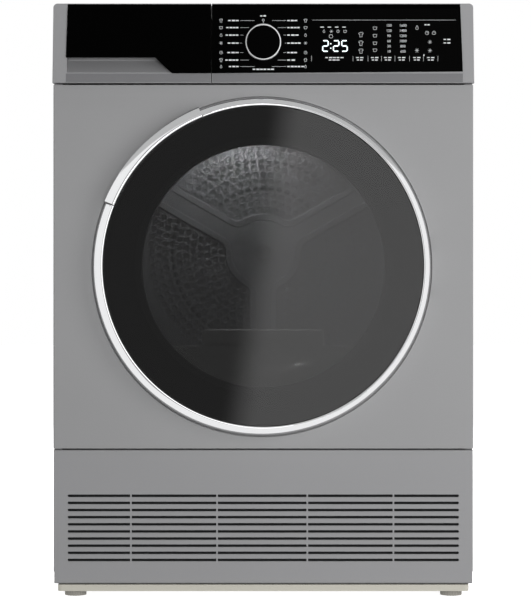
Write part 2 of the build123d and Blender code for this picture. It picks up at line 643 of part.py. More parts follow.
for side, sign in (("left", -1), ("right", 1)):
    with BuildPart() as drum_roller:
        with BuildSketch(front_plane(ROLLER_Y[1])):
            with Locations((sign * roller_x, roller_z)):
                Circle(ROLLER_R)
                Circle(AXLE_R + RUN_FIT, mode=Mode.SUBTRACT)
                with PolarLocations(14.5, 6):
                    Circle(4, mode=Mode.SUBTRACT)
        extrude(amount=ROLLER_Y[1] - ROLLER_Y[0])
    drum_roller.part.label = f"drum_roller_{side}"
    export_step(drum_roller.part, f"parts/drum_roller_{side}.step")

# Drum ---------------------------------------------------------------------------------------
DRUM_SHEET = 1.0
DRUM_MOUTH_R = 215.0
SPIDER_ANGLES = (30.0, 150.0, 270.0)
SPIDER_Y = (182.0, DRUM_WALL_Y)
BOSS_R = 60.0
ARM_W = 45.0
HUB_PCD_R = 31.3
PERFORATION_R = 4.5
PERFORATION_RINGS = (95.0, 125.0, 155.0, 185.0)
SHAFT_R = 10.0

with BuildPart() as drum_shell:
    with BuildSketch(radial_plane(DOOR_X, DRUM_Z)):
        with BuildLine():
            Polyline(
                (DRUM_MOUTH_R, DRUM_Y[0]), (DRUM_R - 6, DRUM_Y[0]), (DRUM_R, DRUM_Y[0] + 6),
                (DRUM_R, DRUM_Y[1]), (DRUM_R - DRUM_SHEET, DRUM_Y[1]),
                (DRUM_R - DRUM_SHEET, DRUM_Y[0] + 6.5), (DRUM_R - 6.5, DRUM_Y[0] + DRUM_SHEET),
                (DRUM_MOUTH_R, DRUM_Y[0] + DRUM_SHEET), close=True,
            )
        make_face()
    revolve(axis=axis_y(DOOR_X, DRUM_Z))
drum_shell.part.label = "drum_shell"
export_step(drum_shell.part, "parts/drum_shell.step")

with BuildPart() as drum_rear_wall:
    with BuildSketch(front_plane(DRUM_WALL_Y + 1.2)):
        with Locations((DOOR_X, DRUM_Z)):
            Circle(DRUM_R - DRUM_SHEET)
            for ring_r in PERFORATION_RINGS:
                for spoke in SPIDER_ANGLES:
                    free = 60 - math.degrees(math.asin((ARM_W / 2 + 12) / ring_r))
                    holes = int(math.radians(2 * free) * ring_r / 26)
                    step = 2 * free / holes
                    with PolarLocations(ring_r, holes + 1, spoke + 60 - free, step * (holes + 1)):
                        Circle(PERFORATION_R, mode=Mode.SUBTRACT)
            Circle(SHAFT_R, mode=Mode.SUBTRACT)
    extrude(amount=1.2)
    with BuildSketch(front_plane(DRUM_WALL_Y + 14)):
        with Locations((DOOR_X, DRUM_Z)):
            Circle(DRUM_R - DRUM_SHEET)
            Circle(DRUM_R - 2 * DRUM_SHEET, mode=Mode.SUBTRACT)
    extrude(amount=12.8)
drum_rear_wall.part.label = "drum_rear_wall"
export_step(drum_rear_wall.part, "parts/drum_rear_wall.step")

with BuildPart() as drum_spider:
    with BuildSketch(front_plane(SPIDER_Y[1])):
        with Locations((DOOR_X, DRUM_Z)):
            Circle(BOSS_R)
            for spoke in SPIDER_ANGLES:
                with Locations(Rot(0, 0, spoke) * Pos(130, 0, 0)):
                    RectangleRounded(260, ARM_W, 8)
            Circle(SHAFT_R, mode=Mode.SUBTRACT)
    extrude(amount=SPIDER_Y[1] - SPIDER_Y[0])
    with BuildSketch(front_plane(SPIDER_Y[0] + 2)):
        with Locations((DOOR_X, DRUM_Z)):
            for spoke in SPIDER_ANGLES:
                with Locations(Rot(0, 0, spoke) * Pos(150, 0, 0)):
                    RectangleRounded(196, 21, 8)
            Circle(44)
    extrude(amount=2, mode=Mode.SUBTRACT)
drum_spider.part.label = "drum_spider"
export_step(drum_spider.part, "parts/drum_spider.step")

with BuildPart() as hub_screws:
    with BuildSketch(front_plane(SPIDER_Y[0] + 2)):
        with Locations((DOOR_X, DRUM_Z)):
            with PolarLocations(HUB_PCD_R, 6):
                RegularPolygon(5.2, 6)
    extrude(amount=3.6)
hub_screws.part.label = "hub_screws"
export_step(hub_screws.part, "parts/hub_screws.step")

LIFTER_ANGLES = (90.0, 210.0, 330.0)
LIFTER_H = 52.0
with BuildPart() as drum_lifters:
    for angle in LIFTER_ANGLES:
        lifter_plane = Plane(
            origin=(0, 150, DRUM_Z), x_dir=(*polar(1, angle)[:1], 0, polar(1, angle)[1]),
            z_dir=(0, -1, 0),
        )
        with BuildSketch(lifter_plane):
            with BuildLine():
                foot_r = DRUM_R - DRUM_SHEET - 3.6
                crest_r = DRUM_R - LIFTER_H
                Polyline(
                    (foot_r, -32), (foot_r, 32), (foot_r - 10, 26), (crest_r, 9), (crest_r, -9),
                    (foot_r - 10, -26), close=True,
                )
            make_face()
        extrude(amount=300)
drum_lifters.part.label = "drum_lifters"
export_step(drum_lifters.part, "parts/drum_lifters.step")

with BuildPart() as drum_shaft:
    with BuildSketch(front_plane(262)):
        with Locations((DOOR_X, DRUM_Z)):
            Circle(SHAFT_R)
    extrude(amount=262 - SPIDER_Y[0] - 2)
    with BuildSketch(front_plane(204)):
        with Locations((DOOR_X, DRUM_Z)):
            Circle(28)
    extrude(amount=204 - DRUM_WALL_Y - 1.2)
    with BuildSketch(radial_plane(DOOR_X, DRUM_Z)):
        with BuildLine():
            Polyline(
                (0, SPIDER_Y[0] + 2), (14.2, SPIDER_Y[0] + 2), (14.2, SPIDER_Y[0] - 1),
                (10.3, SPIDER_Y[0] - 1), (9, SPIDER_Y[0] + 0.6), (0, SPIDER_Y[0] + 0.6), close=True,
            )
        make_face()
    revolve(axis=axis_y(DOOR_X, DRUM_Z))
drum_shaft.part.label = "drum_shaft"
export_step(drum_shaft.part, "parts/drum_shaft.step")

# Cross member with the drum's rear bearing in its boss.
with BuildPart() as bearing_bracket:
    with BuildSketch(front_plane(260.5)):
        with Locations((0, DRUM_Z)):
            RectangleRounded(540, 60, 8)
            Circle(14, mode=Mode.SUBTRACT)
    extrude(amount=4)
    with BuildSketch(front_plane(256.5)):
        with Locations((0, DRUM_Z)):
            Circle(26)
            Circle(SHAFT_R + RUN_FIT, mode=Mode.SUBTRACT)
    extrude(amount=13.5)
    for end_x in (-262, 262):
        with BuildSketch(front_plane(REAR_Y - SHEET)):
            with Locations((end_x, DRUM_Z)):
                RectangleRounded(12, 56, 2)
        extrude(amount=REAR_Y - SHEET - 260.5)
bearing_bracket.part.label = "bearing_bracket"
export_step(bearing_bracket.part, "parts/bearing_bracket.step")

# Felt rings at the drum's front mouth and behind its rear wall.
with BuildPart() as felt_seals:
    with BuildSketch(front_plane(DRUM_Y[0] + 7)):
        with Locations((DOOR_X, DRUM_Z)):
            Circle(COLLAR_R + 10)
            Circle(COLLAR_R + 0.1, mode=Mode.SUBTRACT)
    extrude(amount=12)
    with BuildSketch(front_plane(216)):
        with Locations((DOOR_X, DRUM_Z)):
            Circle(211)
            Circle(204, mode=Mode.SUBTRACT)
    extrude(amount=216 - DRUM_WALL_Y - 2)
felt_seals.part.label = "felt_seals"
export_step(felt_seals.part, "parts/felt_seals.step")

# Heater box behind the drum, with its element inside ------------------------------------------
with BuildPart() as heater_box:
    with BuildSketch(radial_plane(DOOR_X, DRUM_Z)):
        with BuildLine():
            Polyline(
                (34, 236), (215, 236), (215, 216), (213.8, 216), (213.8, 234.8), (35.2, 234.8),
                (35.2, 208), (34, 208), close=True,
            )
        make_face()
    revolve(axis=axis_y(DOOR_X, DRUM_Z))
    for coil_r in (110.0, 150.0):
        with BuildSketch(radial_plane(DOOR_X, DRUM_Z)):
            with Locations((coil_r, 226)):
                Circle(4)
        revolve(axis=axis_y(DOOR_X, DRUM_Z))
    with BuildSketch(front_plane(234.8)):
        with Locations((130, DRUM_Z)):
            Rectangle(46, 8)
    extrude(amount=12)
heater_box.part.label = "heater_box"
export_step(heater_box.part, "parts/heater_box.step")

# Belt drive -----------------------------------------------------------------------------------
IDLER_X = 70.0
IDLER_Z = 150.0
IDLER_R = 18.0
BELT_GAP = 0.35
BELT_T = 2.4
belt_wheels = ((DOOR_X, DRUM_Z, DRUM_R), (MOTOR_X, MOTOR_Z, PULLEY_R), (IDLER_X, IDLER_Z, IDLER_R))
with BuildPart() as drum_belt:
    with BuildSketch(front_plane(BELT_Y[1])):
        with BuildLine():
            for wheel_x, wheel_z, wheel_r in belt_wheels:
                CenterArc((wheel_x, wheel_z), wheel_r + BELT_GAP + BELT_T, 0, 360)
        make_hull()
    extrude(amount=BELT_Y[1] - BELT_Y[0])
    with BuildSketch(front_plane(BELT_Y[1])):
        with BuildLine():
            for wheel_x, wheel_z, wheel_r in belt_wheels:
                CenterArc((wheel_x, wheel_z), wheel_r + BELT_GAP, 0, 360)
        make_hull()
    extrude(amount=BELT_Y[1] - BELT_Y[0], mode=Mode.SUBTRACT)
drum_belt.part.label = "drum_belt"
export_step(drum_belt.part, "parts/drum_belt.step")

MOTOR_Y = (-20.0, 112.0)
MOTOR_R = 56.0
MOTOR_SHAFT_R = 6.0
with BuildPart() as drive_motor:
    with BuildSketch(front_plane(MOTOR_Y[1])):
        with Locations((MOTOR_X, MOTOR_Z)):
            Circle(MOTOR_R)
            Circle(MOTOR_SHAFT_R + 0.4, mode=Mode.SUBTRACT)
    extrude(amount=MOTOR_Y[1] - MOTOR_Y[0])
    fillet(drive_motor.edges().filter_by(GeomType.CIRCLE).sort_by(SortBy.RADIUS)[-2:], radius=9)
    with BuildSketch(Plane.XY.offset(RAIL_Z)):
        with Locations((MOTOR_X, (MOTOR_Y[0] + MOTOR_Y[1]) / 2)):
            RectangleRounded(96, 84, 6)
    extrude(amount=MOTOR_Z - MOTOR_R - RAIL_Z + 8)
    with BuildSketch(front_plane(MOTOR_Y[1])):
        with Locations((MOTOR_X, MOTOR_Z)):
            Circle(MOTOR_R - 8)
            Circle(MOTOR_R - 34, mode=Mode.SUBTRACT)
    extrude(amount=MOTOR_Y[1] - MOTOR_Y[0] - 14, mode=Mode.SUBTRACT)
drive_motor.part.label = "drive_motor"
export_step(drive_motor.part, "parts/drive_motor.step")

FAN_Y = (-128.0, -84.0)
FAN_R = 68.0
COOLER_Y = (214.0, 236.0)
COOLER_R = 56.0
with BuildPart() as motor_shaft:
    with BuildSketch(front_plane(COOLER_Y[1])):
        with Locations((MOTOR_X, MOTOR_Z)):
            Circle(MOTOR_SHAFT_R)
    extrude(amount=COOLER_Y[1] - FAN_Y[0])
    with BuildSketch(front_plane(BELT_Y[1] + 2)):
        with Locations((MOTOR_X, MOTOR_Z)):
            Circle(PULLEY_R)
    extrude(amount=BELT_Y[1] - BELT_Y[0] + 4)
motor_shaft.part.label = "motor_shaft"
export_step(motor_shaft.part, "parts/motor_shaft.step")

# Process fan wheel in front of the motor, cooling fan wheel behind it.
with BuildPart() as fan_wheels:
    for wheel_y, wheel_r, blades in ((FAN_Y, FAN_R, 20), (COOLER_Y, COOLER_R, 14)):
        with BuildSketch(front_plane(wheel_y[1])):
            with Locations((MOTOR_X, MOTOR_Z)):
                Circle(wheel_r)
                Circle(MOTOR_SHAFT_R, mode=Mode.SUBTRACT)
        extrude(amount=2.5)
        with BuildSketch(front_plane(wheel_y[1] - 2.5)):
            with Locations((MOTOR_X, MOTOR_Z)):
                with PolarLocations(wheel_r - 9.5, blades):
                    Rectangle(17, 1.8, rotation=28)
                Circle(12)
                Circle(MOTOR_SHAFT_R, mode=Mode.SUBTRACT)
        extrude(amount=wheel_y[1] - wheel_y[0] - 2.5)
fan_wheels.part.label = "fan_wheels"
export_step(fan_wheels.part, "parts/fan_wheels.step")

with BuildPart() as fan_housing:
    with BuildSketch(front_plane(FAN_Y[1] + 7)):
        with Locations((MOTOR_X, MOTOR_Z)):
            Circle(FAN_R + 12)
    extrude(amount=FAN_Y[1] - FAN_Y[0] + 14)
    with BuildSketch(front_plane(FAN_Y[1] + 5)):
        with Locations((MOTOR_X, MOTOR_Z)):
            Circle(FAN_R + 10)
    extrude(amount=FAN_Y[1] - FAN_Y[0] + 10, mode=Mode.SUBTRACT)
    with BuildSketch(front_plane(FAN_Y[1] + 8)):
        with Locations((MOTOR_X, MOTOR_Z)):
            Circle(MOTOR_SHAFT_R + 4)
    extrude(amount=FAN_Y[1] - FAN_Y[0] + 16, mode=Mode.SUBTRACT)
    with BuildSketch(front_plane(FAN_Y[0] + 1)):
        with Locations((MOTOR_X, MOTOR_Z)):
            Circle(FAN_R - 20)
    extrude(amount=10, mode=Mode.SUBTRACT)
fan_housing.part.label = "fan_housing"
export_step(fan_housing.part, "parts/fan_housing.step")

with BuildPart() as belt_idler:
    with BuildSketch(front_plane(BELT_Y[1] + 1)):
        with Locations((IDLER_X, IDLER_Z)):
            Circle(IDLER_R)
            Circle(AXLE_R + RUN_FIT, mode=Mode.SUBTRACT)
    extrude(amount=BELT_Y[1] - BELT_Y[0] + 2)
belt_idler.part.label = "belt_idler"
export_step(belt_idler.part, "parts/belt_idler.step")

with BuildPart() as tensioner_arm:
    with BuildSketch(front_plane(BELT_Y[0] - 3)):
        with BuildLine():
            Polyline(
                (IDLER_X - 9, IDLER_Z + 6), (IDLER_X + 9, IDLER_Z + 6), (IDLER_X + 22, RAIL_Z + 3),
                (IDLER_X + 22, RAIL_Z), (IDLER_X - 22, RAIL_Z), (IDLER_X - 22, RAIL_Z + 3),
                close=True,
            )
        make_face()
    extrude(amount=4)
    with BuildSketch(front_plane(BELT_Y[1] + 3)):
        with Locations((IDLER_X, IDLER_Z)):
            Circle(AXLE_R)
    extrude(amount=BELT_Y[1] - BELT_Y[0] + 8)
    with BuildSketch(Plane.XY.offset(RAIL_Z)):
        with Locations((IDLER_X, BELT_Y[0] - 12)):
            Rectangle(44, 30)
    extrude(amount=3)
tensioner_arm.part.label = "tensioner_arm"
export_step(tensioner_arm.part, "parts/tensioner_arm.step")

# Condenser, pump and mains inlet --------------------------------------------------------------
CONDENSER_X = -157.0
CONDENSER_Z = 129.0
CONDENSER_Y = (-235.0, 165.0)
with BuildPart() as condenser_housing:
    with BuildSketch(front_plane(CONDENSER_Y[1])):
        with Locations((CONDENSER_X, CONDENSER_Z)):
            Rectangle(208, 134)
            Rectangle(203, 129, mode=Mode.SUBTRACT)
    extrude(amount=CONDENSER_Y[1] - CONDENSER_Y[0])
    with BuildSketch(front_plane(CONDENSER_Y[1] + 2.5)):
        with Locations((CONDENSER_X, CONDENSER_Z)):
            Rectangle(208, 134)
    extrude(amount=2.5)
condenser_housing.part.label = "condenser_housing"
export_step(condenser_housing.part, "parts/condenser_housing.step")

with BuildPart() as condenser_cassette:
    with BuildSketch(front_plane(CONDENSER_Y[1] - 20)):
        with Locations((CONDENSER_X, CONDENSER_Z)):
            Rectangle(196, 122)
            with GridLocations(1, 14.8, 1, 8):
                RectangleRounded(188, 13, 2, mode=Mode.SUBTRACT)
    extrude(amount=CONDENSER_Y[1] - CONDENSER_Y[0] - 24)
condenser_cassette.part.label = "condenser_cassette"
export_step(condenser_cassette.part, "parts/condenser_cassette.step")

COVER_Y = (-243.0, -236.0)
LOCK_X = (CONDENSER_X - 84, CONDENSER_X + 84)
with BuildPart() as condenser_cover:
    with BuildSketch(front_plane(COVER_Y[1])):
        with Locations((CONDENSER_X, CONDENSER_Z)):
            RectangleRounded(212, 130, 10)
        for lock_x in LOCK_X:
            with Locations((lock_x, CONDENSER_Z)):
                Circle(4 + RUN_FIT, mode=Mode.SUBTRACT)
    extrude(amount=COVER_Y[1] - COVER_Y[0])
    with BuildSketch(front_plane(COVER_Y[1] - 2.5)):
        with Locations((CONDENSER_X, CONDENSER_Z)):
            RectangleRounded(90, 60, 8)
    extrude(amount=10, mode=Mode.SUBTRACT)
condenser_cover.part.label = "condenser_cover"
export_step(condenser_cover.part, "parts/condenser_cover.step")

for side, lock_x in (("left", LOCK_X[0]), ("right", LOCK_X[1])):
    with BuildPart() as cover_lock:
        with BuildSketch(front_plane(COVER_Y[0] - 0.4)):
            with Locations((lock_x, CONDENSER_Z)):
                SlotOverall(34, 13, rotation=90)
        extrude(amount=5)
        with BuildSketch(front_plane(COVER_Y[1])):
            with Locations((lock_x, CONDENSER_Z)):
                Circle(4)
        extrude(amount=COVER_Y[1] - COVER_Y[0] + 0.4)
    cover_lock.part.label = f"condenser_lock_{side}"
    export_step(cover_lock.part, f"parts/condenser_lock_{side}.step")

with BuildPart() as condensate_pump:
    with BuildSketch(Plane.XY.offset(RAIL_Z)):
        with Locations((-200, 225)):
            RectangleRounded(90, 60, 8)
    extrude(amount=26)
    with BuildSketch(Plane.XY.offset(RAIL_Z + 26)):
        with Locations((-218, 225)):
            Circle(21)
        with Locations((-172, 225)):
            Circle(7)
    extrude(amount=34)
condensate_pump.part.label = "condensate_pump"
export_step(condensate_pump.part, "parts/condensate_pump.step")

with BuildPart() as mains_inlet:
    with BuildSketch(front_plane(REAR_Y + 5)):
        with Locations((250, 760)):
            RectangleRounded(58, 44, 6)
    extrude(amount=5)
    with BuildSketch(front_plane(REAR_Y + 12)):
        with Locations((250, 760)):
            Circle(11)
    extrude(amount=7)
    with BuildSketch(front_plane(REAR_Y + 13)):
        with Locations((250, 760)):
            Circle(4.5)
    extrude(amount=12, mode=Mode.SUBTRACT)
mains_inlet.part.label = "mains_inlet"
export_step(mains_inlet.part, "parts/mains_inlet.step")

# Water tank drawer ----------------------------------------------------------------------------
TUB_Y = (-238.0, 170.0)
TUB_SECTION = ((-286.4, 750.0), (-190.0, 750.0), (-97.0, 796.0), (-97.0, 816.0), (-286.4, 816.0))
GRIP_X = (-280.6, -130.0)
PANEL_BACK_Y = -251.0


def panel_outline(left, right, taper_left, taper_right):
    """Front outline of a piece of the control panel, in the front view."""
    Polyline(
        (left, PANEL_Z[0]), (right, PANEL_Z[0]), (right - taper_right, PANEL_Z[1]),
        (left + taper_left, PANEL_Z[1]), close=True,
    )


with BuildPart() as fascia_bevel:
    with BuildSketch(Plane.YZ.offset(-310)):
        with BuildLine():
            Polyline(
                (FASCIA_Y - 2, 837.5), (FASCIA_Y, 837.5), (FASCIA_Y + 3, FASCIA_Z[1]),
                (FASCIA_Y + 3, FASCIA_Z[1] + 4), (FASCIA_Y - 2, FASCIA_Z[1] + 4), close=True,
            )
        make_face()
    extrude(amount=620)

with BuildPart() as tank_drawer_front:
    with BuildSketch(front_plane(PANEL_BACK_Y)):
        with BuildLine():
            panel_outline(-WIDTH / 2, PANEL_SPLIT_X - 0.6, PANEL_TAPER, 0)
        make_face()
    extrude(amount=PANEL_BACK_Y - PANEL_Y)
    fillet(tank_drawer_front.edges().filter_by(Axis.Y).group_by(Axis.Z)[-1].sort_by(Axis.X)[0],
           radius=6)
    fillet(tank_drawer_front.faces().sort_by(Axis.Y)[0].edges().group_by(Axis.Z)[-1], radius=1.5)
    with BuildSketch(front_plane(PANEL_BACK_Y)):
        with Locations(((-WIDTH / 2 + PANEL_SPLIT_X) / 2, (PANEL_Z[0] + PANEL_Z[1]) / 2)):
            RectangleRounded(220, 106, 4)
    extrude(amount=PANEL_BACK_Y - PANEL_Y - 5, mode=Mode.SUBTRACT)
    with BuildSketch(front_plane(TUB_Y[0])):
        with Locations(((GRIP_X[0] + GRIP_X[1]) / 2, 768)):
            RectangleRounded(158, 56, 4)
    extrude(amount=TUB_Y[0] - PANEL_Y - 4)
    with BuildSketch(Plane.YZ.offset(GRIP_X[0] + 1.5)):
        with BuildLine():
            Polyline(
                (PANEL_Y - 1, 746.5), (PANEL_Y, 746.5), (-243, 766), (-242, 772), (-242, 788),
                (-258, 788), (-262, 770), (PANEL_Y - 1, 768), close=True,
            )
        make_face()
    extrude(amount=GRIP_X[1] - GRIP_X[0] - 3, mode=Mode.SUBTRACT)
    with BuildSketch(front_plane(PANEL_Y + 2.5)):
        with BuildLine():
            Polyline(
                (-280.6, 768), (-154, 768), (-130, FASCIA_Z[0]), (PANEL_SPLIT_X - 0.6, FASCIA_Z[0]),
                (PANEL_SPLIT_X - 0.6, FASCIA_Z[1]), (-278, FASCIA_Z[1]), close=True,
            )
        make_face()
    extrude(amount=4, mode=Mode.SUBTRACT)
tank_drawer_front.part.label = "tank_drawer_front"
export_step(tank_drawer_front.part, "parts/tank_drawer_front.step")

with BuildPart() as tank_fascia:
    with BuildSketch(front_plane(PANEL_Y + 2.5)):
        with BuildLine():
            Polyline(
                (-280.5, 768.1), (-154, 768.1), (-129.9, FASCIA_Z[0] + 0.1),
                (PANEL_SPLIT_X - 0.6, FASCIA_Z[0] + 0.1), (PANEL_SPLIT_X - 0.6, FASCIA_Z[1] - 0.1),
                (-277.9, FASCIA_Z[1] - 0.1), close=True,
            )
        make_face()
    extrude(amount=4)
    add(fascia_bevel.part, mode=Mode.SUBTRACT)
tank_fascia.part.label = "tank_fascia"
export_step(tank_fascia.part, "parts/tank_fascia.step")

with BuildPart() as tank_tub:
    with BuildSketch(front_plane(TUB_Y[1])):
        with BuildLine():
            Polyline(*TUB_SECTION, close=True)
        make_face()
        fillet(vertices(), radius=5)
    extrude(amount=TUB_Y[1] - TUB_Y[0])
    with BuildSketch(front_plane(TUB_Y[1] - 2)):
        with BuildLine():
            Polyline(
                (-284.4, 752), (-191, 752), (-99, 797.5), (-99, 820), (-284.4, 820), close=True,
            )
        make_face()
    extrude(amount=TUB_Y[1] - TUB_Y[0] - 4, mode=Mode.SUBTRACT)
    with BuildSketch(Plane.XY.offset(TUB_SECTION[3][1])):
        with Locations((-191.8, (TUB_Y[0] + TUB_Y[1]) / 2)):
            RectangleRounded(188.6, TUB_Y[1] - TUB_Y[0] - 1, 5)
        with Locations((-191.8, TUB_Y[1] - 40)):
            Circle(14, mode=Mode.SUBTRACT)
    extrude(amount=2)
tank_tub.part.label = "tank_tub"
export_step(tank_tub.part, "parts/tank_tub.step")

with BuildPart() as tank_guide:
    with BuildSketch(front_plane(182)):
        with BuildLine():
            Polyline(
                (-294, 812), (-294, 744.5), (-188.4, 744.5), (-92, 792.2), (-92, 812), (-94.5, 812),
                (-94.5, 793.7), (-189, 747), (-291.5, 747), (-291.5, 812), close=True,
            )
        make_face()
    extrude(amount=182 + 232)
tank_guide.part.label = "tank_guide"
export_step(tank_guide.part, "parts/tank_guide.step")

# Control panel --------------------------------------------------------------------------------
KNOB_Z = 787.4
KNOB_R = 25.8
KNOB_FRONT_Y = -288.8
SPINDLE_R = 3.0
HOUSING_BACK_Y = -252.5
with BuildPart() as control_housing:
    with BuildSketch(front_plane(HOUSING_BACK_Y)):
        with BuildLine():
            panel_outline(PANEL_SPLIT_X + 0.6, WIDTH / 2, 0, PANEL_TAPER)
        make_face()
    extrude(amount=HOUSING_BACK_Y - PANEL_Y)
    fillet(control_housing.edges().filter_by(Axis.Y).group_by(Axis.Z)[-1].sort_by(Axis.X)[-1],
           radius=6)
    fillet(control_housing.faces().sort_by(Axis.Y)[0].edges().group_by(Axis.Z)[-1], radius=1.5)
    with BuildSketch(front_plane(HOUSING_BACK_Y)):
        with Locations(((PANEL_SPLIT_X + WIDTH / 2) / 2, (PANEL_Z[0] + PANEL_Z[1]) / 2)):
            RectangleRounded(366, 107, 4)
    extrude(amount=HOUSING_BACK_Y - PANEL_Y - 5, mode=Mode.SUBTRACT)
    with BuildSketch(front_plane(PANEL_Y + 2.5)):
        with BuildLine():
            Polyline(
                (PANEL_SPLIT_X + 0.6, FASCIA_Z[0]), (283.6, FASCIA_Z[0] + 2.4),
                (279.8, FASCIA_Z[1]), (PANEL_SPLIT_X + 0.6, FASCIA_Z[1]), close=True,
            )
        make_face()
    extrude(amount=4, mode=Mode.SUBTRACT)
    with BuildSketch(front_plane(HOUSING_BACK_Y)):
        with Locations((0, KNOB_Z)):
            Circle(SPINDLE_R + 1)
    extrude(amount=30, mode=Mode.SUBTRACT)
control_housing.part.label = "control_housing"
export_step(control_housing.part, "parts/control_housing.step")

with BuildPart() as control_fascia:
    with BuildSketch(front_plane(PANEL_Y + 2.5)):
        with BuildLine():
            Polyline(
                (PANEL_SPLIT_X + 0.6, FASCIA_Z[0] + 0.1), (283.5, FASCIA_Z[0] + 2.5),
                (279.7, FASCIA_Z[1] - 0.1), (PANEL_SPLIT_X + 0.6, FASCIA_Z[1] - 0.1), close=True,
            )
        make_face()
        with Locations((0, KNOB_Z)):
            Circle(SPINDLE_R + 1, mode=Mode.SUBTRACT)
    extrude(amount=4)
    add(fascia_bevel.part, mode=Mode.SUBTRACT)
control_fascia.part.label = "control_fascia"
export_step(control_fascia.part, "parts/control_fascia.step")

with BuildPart() as knob_cap:
    with BuildSketch(radial_plane(0, KNOB_Z)):
        with BuildLine():
            Polyline(
                (0, KNOB_FRONT_Y + 0.6), (KNOB_R - 2.2, KNOB_FRONT_Y + 0.6),
                (KNOB_R - 2.2, KNOB_FRONT_Y + 4), (6.5, KNOB_FRONT_Y + 4), (6.5, FASCIA_Y - 0.8),
                (SPINDLE_R, FASCIA_Y - 0.8), (SPINDLE_R, KNOB_FRONT_Y + 6),
                (0, KNOB_FRONT_Y + 6), close=True,
            )
        make_face()
    revolve(axis=axis_y(0, KNOB_Z))
    with BuildSketch(front_plane(-257.0)):
        with Locations((0, KNOB_Z)):
            Circle(SPINDLE_R)
    extrude(amount=-257.0 - KNOB_FRONT_Y - 5)
knob_cap.part.label = "knob_cap"
export_step(knob_cap.part, "parts/knob_cap.step")

with BuildPart() as knob_ring:
    with BuildSketch(radial_plane(0, KNOB_Z)):
        with BuildLine():
            Polyline(
                (KNOB_R - 2.2, KNOB_FRONT_Y), (KNOB_R - 0.8, KNOB_FRONT_Y),
                (KNOB_R, KNOB_FRONT_Y + 1.2), (KNOB_R + 0.7, FASCIA_Y - 0.6),
                (KNOB_R - 1.3, FASCIA_Y - 0.6), (KNOB_R - 2.2, KNOB_FRONT_Y + 6), close=True,
            )
        make_face()
    revolve(axis=axis_y(0, KNOB_Z))
knob_ring.part.label = "knob_ring"
export_step(knob_ring.part, "parts/knob_ring.step")

SWITCH_Y = (-261.8, -256.4)
# Electronics board with the knob's switch and the display module on its front.
with BuildPart() as control_board:
    with BuildSketch(front_plane(SWITCH_Y[1] + 1.6)):
        with Locations((110, 789)):
            RectangleRounded(350, 78, 3)
        with Locations((0, KNOB_Z)):
            Circle(SPINDLE_R + RUN_FIT, mode=Mode.SUBTRACT)
    extrude(amount=1.6)
    with BuildSketch(front_plane(SWITCH_Y[1])):
        with Locations((0, KNOB_Z)):
            RectangleRounded(34, 34, 4)
            Circle(SPINDLE_R + RUN_FIT, mode=Mode.SUBTRACT)
        with Locations((102, 796)):
            RectangleRounded(52, 40, 2)
    extrude(amount=SWITCH_Y[1] - SWITCH_Y[0])
control_board.part.label = "control_board"
export_step(control_board.part, "parts/control_board.step")
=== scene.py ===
"""Looks for a front-loading condenser clothes dryer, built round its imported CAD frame.

Every length that comes from the machine is in millimetres in the dataclass fields and is
turned to metres once, when a mesh is made. Left is -X, the front is -Y and up is +Z.
"""

import json
import logging
import math
from dataclasses import dataclass
from enum import Enum
from typing import Any, Callable, Iterable, Sequence

import bmesh
import bpy
from mathutils import Matrix, Vector


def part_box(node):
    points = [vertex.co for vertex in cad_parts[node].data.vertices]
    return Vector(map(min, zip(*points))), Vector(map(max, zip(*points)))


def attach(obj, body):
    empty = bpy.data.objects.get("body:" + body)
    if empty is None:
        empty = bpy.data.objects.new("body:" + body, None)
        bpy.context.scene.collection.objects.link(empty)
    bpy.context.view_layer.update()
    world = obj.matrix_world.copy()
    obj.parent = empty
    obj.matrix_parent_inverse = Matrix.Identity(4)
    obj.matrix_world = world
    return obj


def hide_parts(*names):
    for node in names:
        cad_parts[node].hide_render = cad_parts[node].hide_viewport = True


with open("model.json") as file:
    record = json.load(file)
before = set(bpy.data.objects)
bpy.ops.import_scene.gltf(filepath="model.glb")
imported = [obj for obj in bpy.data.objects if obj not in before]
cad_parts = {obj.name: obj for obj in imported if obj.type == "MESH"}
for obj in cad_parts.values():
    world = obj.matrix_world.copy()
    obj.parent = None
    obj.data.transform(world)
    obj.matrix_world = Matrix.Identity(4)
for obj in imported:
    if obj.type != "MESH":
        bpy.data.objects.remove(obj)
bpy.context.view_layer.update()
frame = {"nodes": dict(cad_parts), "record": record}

LOG = logging.getLogger("dryer")
MM = 0.001
BROAD_PER_METRE = 9.0               # scale of the slow drift in tone over each surface
BROAD_SHARE = 0.45                  # how much of the tone is the drift; the rest is the grain
INTO_FACE = 0.02                    # how far a print reaches into its face, so no gap shows
NODES: dict[str, bpy.types.Object] = frame["nodes"]
Point = tuple[float, float, float]
Flat = tuple[float, float]


# ---------------------------------------------------------------- finishes


def linear(hex_colour: str, alpha: float = 1.0) -> tuple[float, float, float, float]:
    """Turns an sRGB hex colour to linear.

    Args:
        hex_colour: Six hex digits, such as "8a8c8f".
        alpha: The fourth value.

    Returns:
        Red, green, blue and alpha, linear.
    """
    parts = [int(hex_colour[i:i + 2], 16) / 255 for i in (0, 2, 4)]
    made = [c / 12.92 if c <= 0.04045 else ((c + 0.055) / 1.055) ** 2.4 for c in parts]
    return (made[0], made[1], made[2], alpha)


def add_node(tree: bpy.types.NodeTree, kind: str, settings: dict[str, Any] | None = None,
             inputs: dict[Any, Any] | None = None) -> bpy.types.Node:
    """Adds a node with its settings, values and links.

    Args:
        tree: The tree that takes the node.
        kind: Blender's name of the node type.
        settings: Attributes of the node, by name.
        inputs: Values or source sockets, by the input's name or number.

    Returns:
        The node.
    """
    node = tree.nodes.new(kind)
    for name, value in (settings or {}).items():
        setattr(node, name, value)
    for key, value in (inputs or {}).items():
        if isinstance(value, bpy.types.NodeSocket):
            tree.links.new(value, node.inputs[key])
        else:
            node.inputs[key].default_value = value
    return node


